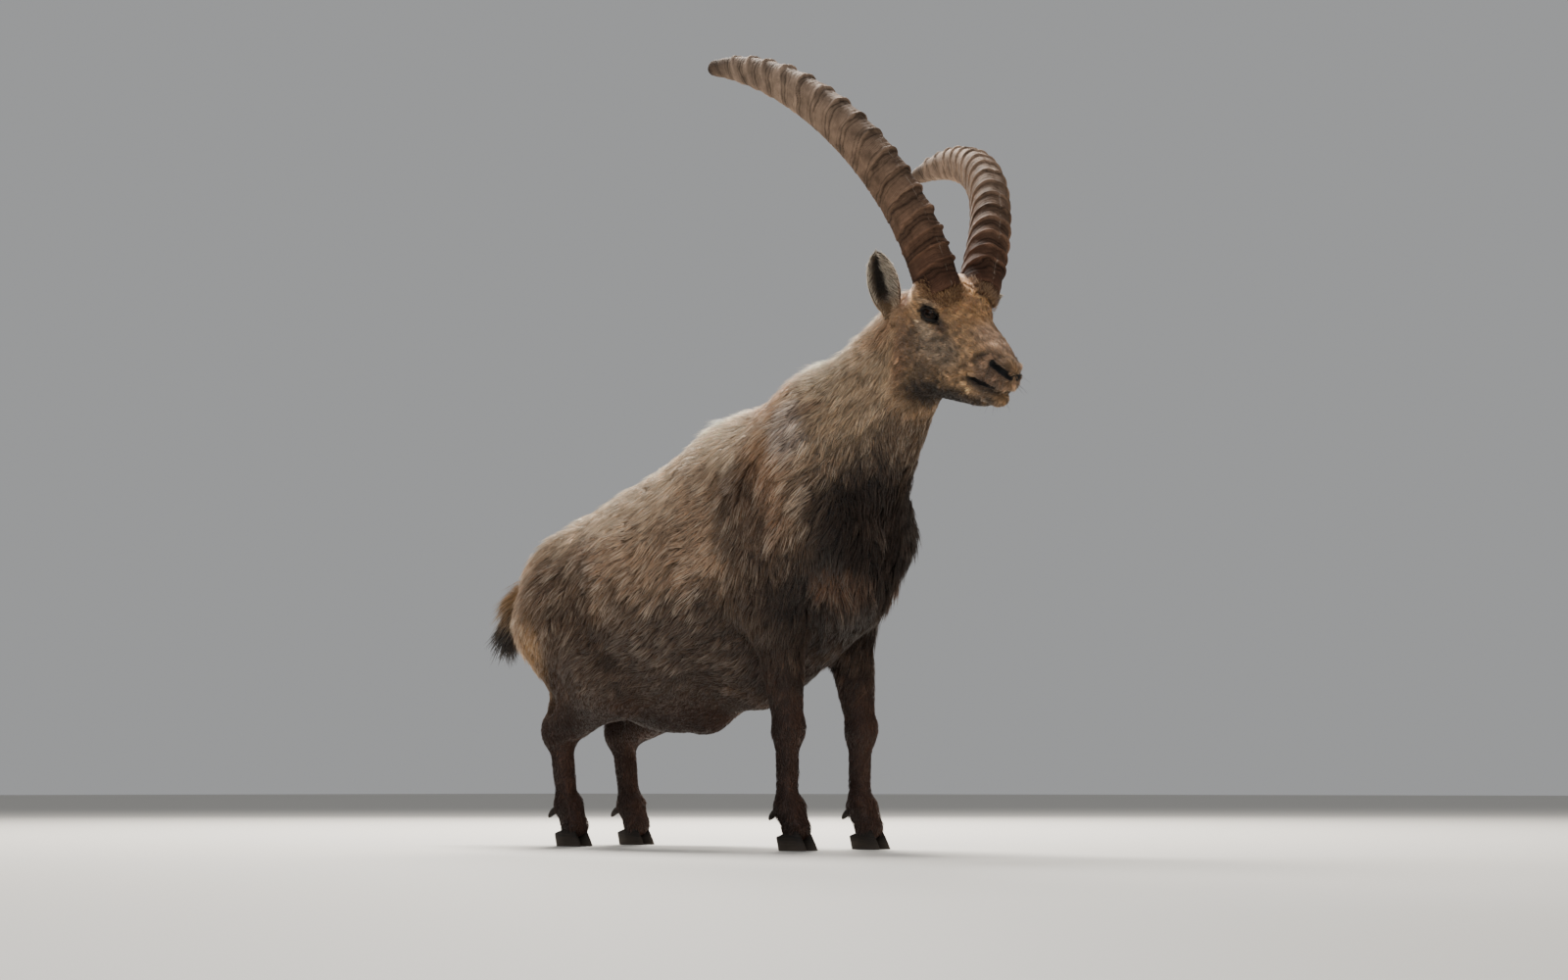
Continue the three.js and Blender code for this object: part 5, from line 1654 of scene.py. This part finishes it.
def makeEar(side, name):
    along, across, ahead = earShape(side)
    blade = np.linspace(0.02, 0.94, earSizes["rings"])
    t = np.concatenate([[-0.1, -0.04], blade, [0.965, 0.983, 0.995, 0.999]])
    grown = np.clip(t, 0, 1)
    width = earWidthAt(grown) * np.where(t > 0.93, np.sqrt(np.clip((1 - t) / 0.07, 0.02, 1)), 1)
    deep = width * (1.0 - 0.62 * grown)
    thick, thin = earSizes["wall"]
    wall = thick - (thick - thin) * grown
    cup = np.clip((t - 0.08) / 0.16, 0, 1)
    bow = -5 * np.sin(np.pi * grown) + 9 * grown ** 2
    centre = placeIn(head, sided(earSeat, side))
    centre = centre + along * (earSizes["length"] * t)[:, None] + ahead * bow[:, None]
    outer = np.pi * (np.linspace(0, 1, earSizes["half"]) - 0.5)
    inner = -outer
    # across the ear, and towards its opening: first round the back, then back through the cup
    a = [np.sin(outer) * width[:, None], np.sin(inner) * np.maximum(width - wall, 0.6)[:, None]]
    hollow = 0.3 - np.cos(inner) * np.maximum(deep - wall, 0.4)[:, None]
    filled = np.cos(inner) * (deep * 0.5)[:, None] + 0.4
    b = [-np.cos(outer) * deep[:, None], filled + (hollow - filled) * cup[:, None]]
    a, b = np.concatenate(a, axis=1), np.concatenate(b, axis=1)
    return loftPiece(f"ear_{name}_leaf", centre[:, None] + across * a[..., None] + ahead * b[..., None])


# the ear's hair: dark in the cup, streaked from its inner edge, pale at the rim, warm at the root
def earColours(within, inner, where, edge, rng):
    total = len(where)
    cupColour, backColour = (linear(value) for value in earFur["colour"])
    colour = np.where(within[:, None], cupColour, backColour)
    deepIn = (1 - smooth(0.35, 0.72, np.abs(inner + 0.12))) * (1 - smooth(0.8, 0.97, where))
    colour = colour + 0.95 * np.where(within, deepIn, 0)[:, None] * (linear(earFur["shade"]) - colour)
    streaks = np.where(within, smooth(0.25, 0.8, rng.uniform(0, 1, total)) * smooth(0.12, 0.5, inner), 0)
    colour = colour + 0.85 * streaks[:, None] * (linear(earFur["streak"]) - colour)
    rim = np.clip(smooth(0.86, 0.99, edge) + smooth(0.9, 0.99, where), 0, 1)
    colour = colour + rim[:, None] * 0.75 * (linear(earFur["rim"]) - colour)
    warm = (1 - smooth(0.08, 0.34, where)) * np.where(within, 0.4, 0.8)
    colour = colour + warm[:, None] * (tint["face"] - colour)
    colour = colour * np.exp(rng.normal(0, 0.15, total))[:, None]
    # the darker root is painted shade between the tufts
    return tuftColours(colour * 0.5, colour * 0.95, colour * 1.15), streaks


def furEar(mesh, side, name):
    rng = np.random.default_rng(40 + side)
    along, across, ahead = earShape(side)
    points = coordinatesOf(mesh) * 1000 + vec(*stance["middle"], 0)
    corners = cornersOf(mesh)
    a, b, c = (points[corners[:, i]] for i in range(3))
    seat = placeIn(head, sided(earSeat, side))
    inside = unit(np.cross(b - a, c - a)) @ ahead > 0.12
    rise = ((a + b + c) / 3 - seat) @ along / earSizes["length"]
    density = np.where(rise < -0.2, 0, 1) * np.where(inside, 1.5, 1)
    total = earFur["tufts"]
    roots, at = scatter(points, corners, density, total, rng)
    n = unit(vertexNormals(points, corners)[corners[at]].mean(axis=1))
    within = inside[at]
    where = (roots - seat) @ along / earSizes["length"]
    aside = (roots - seat) @ across
    half = np.maximum(earWidthAt(np.clip(where, 0, 1)), 1)
    edge = np.abs(aside) / half
    # in the cup hair leans in from the edges, and elsewhere it follows the ear
    lean = np.where(within, 0.9 * edge, 0) * np.sign(aside)
    way = along + lean[:, None] * -across + rng.normal(0, 0.16, (total, 3))
    way = unit(way - n * (way * n).sum(axis=1, keepdims=True))
    length = np.where(within, *earFur["length"]) * rng.uniform(0.7, 1.3, total)
    length = length * (1 - 0.55 * smooth(0.7, 1, where))
    width = np.where(within, *earFur["width"]) * rng.uniform(0.8, 1.2, total)
    lift = np.where(within, *earFur["lift"]) * rng.uniform(0.6, 1.4, total)
    inner = aside * np.sign(across @ wayIn(head, (0, -side, 0))) / half
    colours, streaks = earColours(within, inner, where, edge, rng)
    overLeaf = np.where(within, 0.25, 0.75) + 0.4 * aside / earSizes["width"]
    uv = np.stack([overLeaf, 0.02 + 0.95 * np.clip(where, 0, 1)], axis=1)
    tufts = tuftPoints(roots, n, way, length * (1 + 0.5 * streaks), width, lift)
    finishPiece(linkPiece(f"fur_ear_{name}", tuftMesh(f"fur_ear_{name}", tufts, colours, uv)), hair)


# thin ear skin: dusky and soft, mottled every 7 mm
def earMaterial():
    material, tree, shader = newMaterial("thin ear skin")
    place = addNode(tree, "ShaderNodeTexCoord").outputs["Object"]
    mottle = addNode(tree, "ShaderNodeTexNoise", {"Vector": place, "Scale": 140.0, "Detail": 3.0})
    ramp = addNode(tree, "ShaderNodeValToRGB", {"Fac": mottle})
    setStops(ramp, ((0.35, "2a201a"), (0.7, "5c5046")))
    plug(tree, shader, {"Base Color": ramp, "Roughness": 0.7})
    return material


def makeEars():
    material = earMaterial()
    for side, name in sides.items():
        ear = makeEar(side, name)
        finishPiece(ear, material, f"ear_{name}")
        furEar(ear.data, side, name)
    print("ears made")


makeEars()


# eyes: a wet globe with an amber iris, painted near black as painted shade, and a level slit pupil
eyeSizes = {"iris": 11.5, "pupilWide": 6.2, "pupilHigh": 2.1, "bulge": 1.3}


# wet eye: one deep dark gloss, the amber iris painted near black as painted shade, its brown in fibres of 0.4
# mm only just showing
def eyeMaterial():
    material, tree, shader = newMaterial("wet eye")
    gaze = addNode(tree, "ShaderNodeUVMap", uv_map="gaze")
    split = addNode(tree, "ShaderNodeSeparateXYZ", {"Vector": gaze}).outputs
    far = addNode(tree, "ShaderNodeVectorMath", {0: gaze}, operation="LENGTH").outputs["Value"]
    fibres = addNode(tree, "ShaderNodeTexNoise", {
        "Vector": gaze, "Scale": 2.4, "Detail": 4, "Roughness": 0.7,
    })
    frayed = addNode(tree, "ShaderNodeMath", {0: fibres, 1: 1.6, 2: far}, operation="MULTIPLY_ADD")
    rim = addNode(tree, "ShaderNodeMath", {0: frayed, 1: 16.8}, operation="DIVIDE")
    ramp = addNode(tree, "ShaderNodeValToRGB", {"Fac": rim})
    setStops(ramp, ((0, "160c07"), (0.4, "22140b"), (0.62, "150b06"), (0.7, "070403"), (0.8, "050303")))
    wide = addNode(tree, "ShaderNodeMath", {0: split["X"], 1: eyeSizes["pupilWide"]}, operation="DIVIDE")
    high = addNode(tree, "ShaderNodeMath", {0: split["Y"], 1: eyeSizes["pupilHigh"]}, operation="DIVIDE")
    wideSquare = addNode(tree, "ShaderNodeMath", {0: wide, 1: wide}, operation="MULTIPLY")
    pupil = addNode(tree, "ShaderNodeMath", {0: high, 1: high, 2: wideSquare}, operation="MULTIPLY_ADD")
    edge = addNode(tree, "ShaderNodeMapRange", {"Value": pupil, 1: 0.8, 2: 1.25, 3: 0.06, 4: 1.0})
    colour = addNode(tree, "ShaderNodeVectorMath", {0: ramp, "Scale": edge}, operation="SCALE")
    plug(tree, shader, {
        "Base Color": colour, "Roughness": 0.1, "IOR": 1.38, "Specular IOR Level": 0.12,
        "Coat Weight": 0.08, "Coat Roughness": 0.03,
    })
    return material


def eyeMesh(side, name):
    work = bmesh.new()
    bmesh.ops.create_uvsphere(work, u_segments=64, v_segments=48, radius=face["eyeRadius"])
    mesh = bpy.data.meshes.new(name)
    work.to_mesh(mesh)
    work.free()
    co = coordinatesOf(mesh)
    flat = np.hypot(co[:, 0], co[:, 1])
    cornea = np.where(co[:, 2] > 0, eyeSizes["bulge"] * (1 - smooth(0, eyeSizes["iris"] * 1.1, flat)), 0)
    ahead, above, outward = eyeAxes(side)
    local = ahead * co[:, :1] + above * co[:, 1:2] + outward * (co[:, 2:] + cornea[:, None])
    mesh.vertices.foreach_set("co", toFrame(placeIn(head, local + sided(face["eyeAt"], side))).ravel())
    storeUnwrap(mesh, "gaze", np.where(co[:, 2:] > 0, co[:, :2], 15))
    return mesh


def makeEyes():
    material = eyeMaterial()
    for side, name in sides.items():
        eye = linkPiece(f"eye_{name}_globe", eyeMesh(side, f"eye_{name}_globe"))
        turnOutwards(eye.data)
        finishPiece(eye, material, f"eye_{name}")
    print("eyes made")


makeEyes()


# whiskers and lashes: stiff single hairs on the lips, the chin and the upper lids
barbs = {
    "whiskers": 46,
    "whiskerReach": (10, 27),
    "lashes": 34,
    "lashReach": (6, 11),
    "thickness": 0.22,
    "seed": 71,
}


def barbTree(material):
    tree, given = newTree("single hairs", "Roots", {"Thickness": barbs["thickness"] / 1000}, "Hairs")
    stored = readStored(tree, {"way": "FLOAT_VECTOR", "reach": "FLOAT"})
    spike = addNode(tree, "GeometryNodeMeshCone", {"Vertices": 5, "Radius Top": 0.00004, "Depth": 1.0,
                                                   "Radius Bottom": given["Thickness"]})
    turn = addNode(tree, "FunctionNodeAlignRotationToVector", {"Vector": stored["way"]}, axis="Z")
    stretch = addNode(tree, "ShaderNodeCombineXYZ", {"X": 1.0, "Y": 1.0, "Z": stored["reach"]})
    stood = addNode(tree, "GeometryNodeInstanceOnPoints", {"Points": given["Roots"], "Instance": spike,
                                                           "Rotation": turn, "Scale": stretch})
    endTree(tree, stood, material, "Hairs")
    return tree


# stiff hair: smooth and dark brown, glossier than the coat
def barbMaterial():
    material, tree, shader = newMaterial("stiff hair")
    plug(tree, shader, {"Base Color": (*linear("2e241c"), 1), "Roughness": 0.45})
    return material


def standBarbs(name, chosen, way, reach, tree):
    source = sourceOf(skinPoints[chosen], [], {"way": unit(way), "reach": reach / 1000})
    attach(grow(source, tree, name, {"Thickness": barbs["thickness"] / 1000}), "root")


def makeBarbs():
    rng = np.random.default_rng(barbs["seed"])
    tree = barbTree(barbMaterial())
    n = vertexNormals(skinPoints, cornersOf(skinMesh))
    q = localTo(head, skinPoints)
    lips = spot(skinPoints, head, (156, 22, -36), (24, 14, 14), 0.1) > 0.5
    chin = spot(skinPoints, head, (152, 12, -76), (22, 14, 12), 0.1) > 0.5
    chosen = rng.choice(np.nonzero(lips | chin)[0], barbs["whiskers"], replace=False)
    way = n[chosen] + wayIn(head, (0.25, 0, -0.45)) + rng.normal(0, 0.18, (len(chosen), 3))
    standBarbs("whiskers", chosen, way, rng.uniform(*barbs["whiskerReach"], len(chosen)), tree)
    for side, name in sides.items():
        past, out, far, turn = pastLids(q, side)
        rim = np.nonzero((np.abs(past - 1.2) < 1.1) & (turn > 0.1) & (far < 24) & (out > 0.2))[0]
        chosen = rng.choice(rim, min(len(rim), barbs["lashes"]), replace=False)
        ahead, above, outward = eyeAxes(side)
        way = wayIn(head, outward + 0.15 * above + 0.25 * ahead) + rng.normal(0, 0.1, (len(chosen), 3))
        standBarbs(f"lashes_{name}", chosen, way, rng.uniform(*barbs["lashReach"], len(chosen)), tree)
    print("whiskers and lashes set")


makeBarbs()


# hooves: two claws to a foot on flat bevelled soles, and two dewclaws behind
hoof = {
    "lengths": (-27.0, 34.0),
    "halfOuter": 12.5,
    "halfInner": 10.0,
    "height": 33.0,
    "slope": 0.28,             # how the top rises towards the toe
    "bevel": 0.6,
    "bevelTo": 0.06,           # share of the height that the bevel takes
    "taper": 0.22,
    "leanBack": 11,
    "ahead": 16,               # of the foot's middle
    "apart": 15,
    "rings": 26,
    "around": 56,
}
dewclaw = {
    "line": ((-12, 12, 72), (-24, 15, 64), (-34, 17, 53)),
    "radii": (7.0, 7.5, 4.0),
    "rings": 22,
    "around": 24,
    "roundFrom": 0.72,
}


def soleOutline(turn):
    low, high = hoof["lengths"]
    c, s = np.cos(turn), np.sin(turn)
    x = (high + low) / 2 + (high - low) / 2 * c
    half = np.where(s > 0, hoof["halfOuter"], hoof["halfInner"])
    blunt = np.minimum(1 + 0.16 * c * np.abs(s), 1.0)
    return x, half * np.sign(s) * np.abs(s) ** 0.85 * (1.0 - 0.18 * np.clip(c, 0, 1)) * blunt


# rings of a claw from sole to top, with shallow growth ripples
def clawRings(foot, outward):
    a, b = soleOutline(np.linspace(0, 2 * np.pi, hoof["around"], endpoint=False))
    edge = hoof["bevelTo"]
    rings = []
    for k in range(hoof["rings"]):
        f = k / (hoof["rings"] - 1)
        rise = max(0.0, f * (1 + edge) - edge)
        sole = 1 - 0.06 * (1 - min(1, f / edge)) ** 2
        reach = (1 - hoof["taper"] * rise ** 1.1) * sole
        ripple = 1 + 0.006 * math.sin(rise * 46) + 0.004 * math.sin(rise * 23 + 1)
        top = 1 - 0.06 * max(0, (rise - 0.94) / 0.06) ** 2
        x = a * reach * ripple * top - (1 - reach) * 8 - rise * hoof["leanBack"]
        y = b * reach * (1 - 0.1 * rise) * ripple * top
        z = rise * (hoof["height"] + hoof["slope"] * x) - (0.3 if f == 1 else 0)
        z = np.where(f < edge, 0.0 if k == 0 else hoof["bevel"], z)
        x, y = foot[0] + hoof["ahead"] + x, foot[1] + outward * (hoof["apart"] + y)
        rings.append(np.stack([x, y, z], axis=1))
    return rings


# rings of a dewclaw along a bent line, rounded off at its end
def dewclawRings(foot, outward):
    line = np.array([(foot[0] + x, foot[1] + outward * y, z) for x, y, z in dewclaw["line"]], float)
    handle = 2 * line[1] - (line[0] + line[2]) / 2
    turn = np.linspace(0, 2 * np.pi, dewclaw["around"], endpoint=False)
    rings = []
    for k in range(dewclaw["rings"]):
        t = k / (dewclaw["rings"] - 1)
        centre = (1 - t) ** 2 * line[0] + 2 * t * (1 - t) * handle + t * t * line[2]
        along = unit(2 * (1 - t) * (line[1] - line[0]) + 2 * t * (line[2] - line[1]))
        past = max(0, (t - dewclaw["roundFrom"]) / (1 - dewclaw["roundFrom"]))
        radius = np.interp(t, (0, 0.45, 1), dewclaw["radii"]) * math.sqrt(max(0.01, 1 - past ** 2))
        radius *= 1 + 0.02 * math.sin(40 * t)
        u = unit(np.cross(along, vec(0, 0, 1)))
        v = np.cross(along, u)
        rings.append(centre + radius * (u * np.cos(turn)[:, None] + v * np.sin(turn)[:, None] * 0.85))
    return rings


# hoof horn: dark and worn, with level growth lines 2 mm apart and dust on the lowest 22 mm
def hoofMaterial():
    material, tree, shader = newMaterial("worn hoof horn")
    place = addNode(tree, "ShaderNodeTexCoord").outputs["Object"]
    stretch = addNode(tree, "ShaderNodeMapping", {"Vector": place, "Scale": (40.0, 40.0, 520.0)})
    lines = addNode(tree, "ShaderNodeTexNoise", {"Vector": stretch, "Scale": 1.0, "Detail": 3.0})
    high = addNode(tree, "ShaderNodeSeparateXYZ", {"Vector": place})
    dusty = addNode(tree, "ShaderNodeMapRange", {"Value": high.outputs["Z"], 1: 0, 2: 0.022, 3: 0.6, 4: 0})
    base = addNode(tree, "ShaderNodeValToRGB", {"Fac": lines})
    setStops(base, ((0.3, "0f0b09"), (0.75, "2c241e")))
    dust = addNode(tree, "ShaderNodeMix", {0: dusty, 6: base, 7: (*linear("4e443a"), 1)}, data_type="RGBA")
    bump = addNode(tree, "ShaderNodeBump", {"Height": lines, "Strength": 0.5, "Distance": 0.0006})
    plug(tree, shader, {
        "Base Color": dust.outputs[2], "Normal": bump, "Roughness": 0.68, "Specular IOR Level": 0.25,
    })
    return material


def makeFeet():
    material = hoofMaterial()
    for row, feet in (("front", stance["foreFeet"]), ("hind", stance["hindFeet"])):
        for side, sideName in sides.items():
            for outward, where in ((side, "outer"), (-side, "inner")):
                for rings, kind in ((clawRings, "hoof"), (dewclawRings, "dewclaw")):
                    solid = f"{kind}_{row}_{sideName}_{where}"
                    claw = loftPiece(f"{solid}_horn", rings(feet[side], outward))
                    finishPiece(claw, material, solid)
    print("hooves made")


makeFeet()

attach(skin, "root")
fleshNodes = [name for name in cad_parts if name.startswith(("torso", "neck", "head", "leg_", "tail"))]
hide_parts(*fleshNodes)


# camera, floor and light; the view is given in the body's own place, in metres
view = {
    "eye": (2.840, -3.5038, 0.110),
    "target": (-0.100, 0.0, 0.600),
    "lens": 57.63,
    "shift": (0.003067, 0.018288),
}
# each lamp: place, what it points at, size in metres, watts and colour
lamps = {
    "sky from behind": ((-1.6, 1.2, 4.2), (0, 0, 0.6), 2.0, 600, (1.0, 0.96, 0.90)),
    "low sun behind": ((-2.8, 3.0, 2.5), (0, 0, 0.8), 1.4, 210, (1.0, 0.93, 0.84)),
    "fill": ((2.4, -4.2, 2.2), (0, 0, 0.6), 3.0, 60, (0.93, 0.96, 1.0)),
}
skyLight = {"colour": (0.70, 0.71, 0.72), "strength": 0.5}


def facing(place, aim):
    return (Vector(aim) - Vector(place)).to_track_quat("-Z", "Y").to_euler()


def makeCamera():
    camera = linkPiece("camera", bpy.data.cameras.new("camera"))
    camera.location = Vector(view["eye"]) - Vector((*stance["middle"], 0)) / 1000
    camera.rotation_euler = facing(view["eye"], view["target"])
    camera.data.lens = view["lens"]
    camera.data.sensor_width = 36
    camera.data.shift_x, camera.data.shift_y = view["shift"]
    bpy.context.scene.camera = camera


def makeLamps():
    for name, (place, aim, size, watts, colour) in lamps.items():
        light = bpy.data.lights.new(name, "AREA")
        light.shape = "DISK"
        light.size = size
        light.energy = watts
        light.color = colour
        lamp = linkPiece(name, light)
        lamp.location = place
        lamp.rotation_euler = facing(place, aim)
    sky = bpy.data.worlds.new("studio")
    sky.use_nodes = True
    background = sky.node_tree.nodes["Background"]
    plug(sky.node_tree, background, {"Color": (*skyLight["colour"], 1), "Strength": skyLight["strength"]})
    bpy.context.scene.world = sky


# pale painted floor: matt, so that the feet's shadow reads soft
def floorMaterial():
    material, tree, shader = newMaterial("pale matt paint")
    plug(tree, shader, {"Base Color": (*linear("c9c6c0"), 1), "Roughness": 0.8})
    return material


def makeFloor(half=30):
    mesh = bpy.data.meshes.new("floor")
    corners = [(-half, -half, 0), (half, -half, 0), (half, half, 0), (-half, half, 0)]
    mesh.from_pydata(corners, [], [(0, 1, 2, 3)])
    mesh.materials.append(floorMaterial())
    linkPiece("floor", mesh)


makeCamera()
makeLamps()
makeFloor()

print("camera, floor and light set")
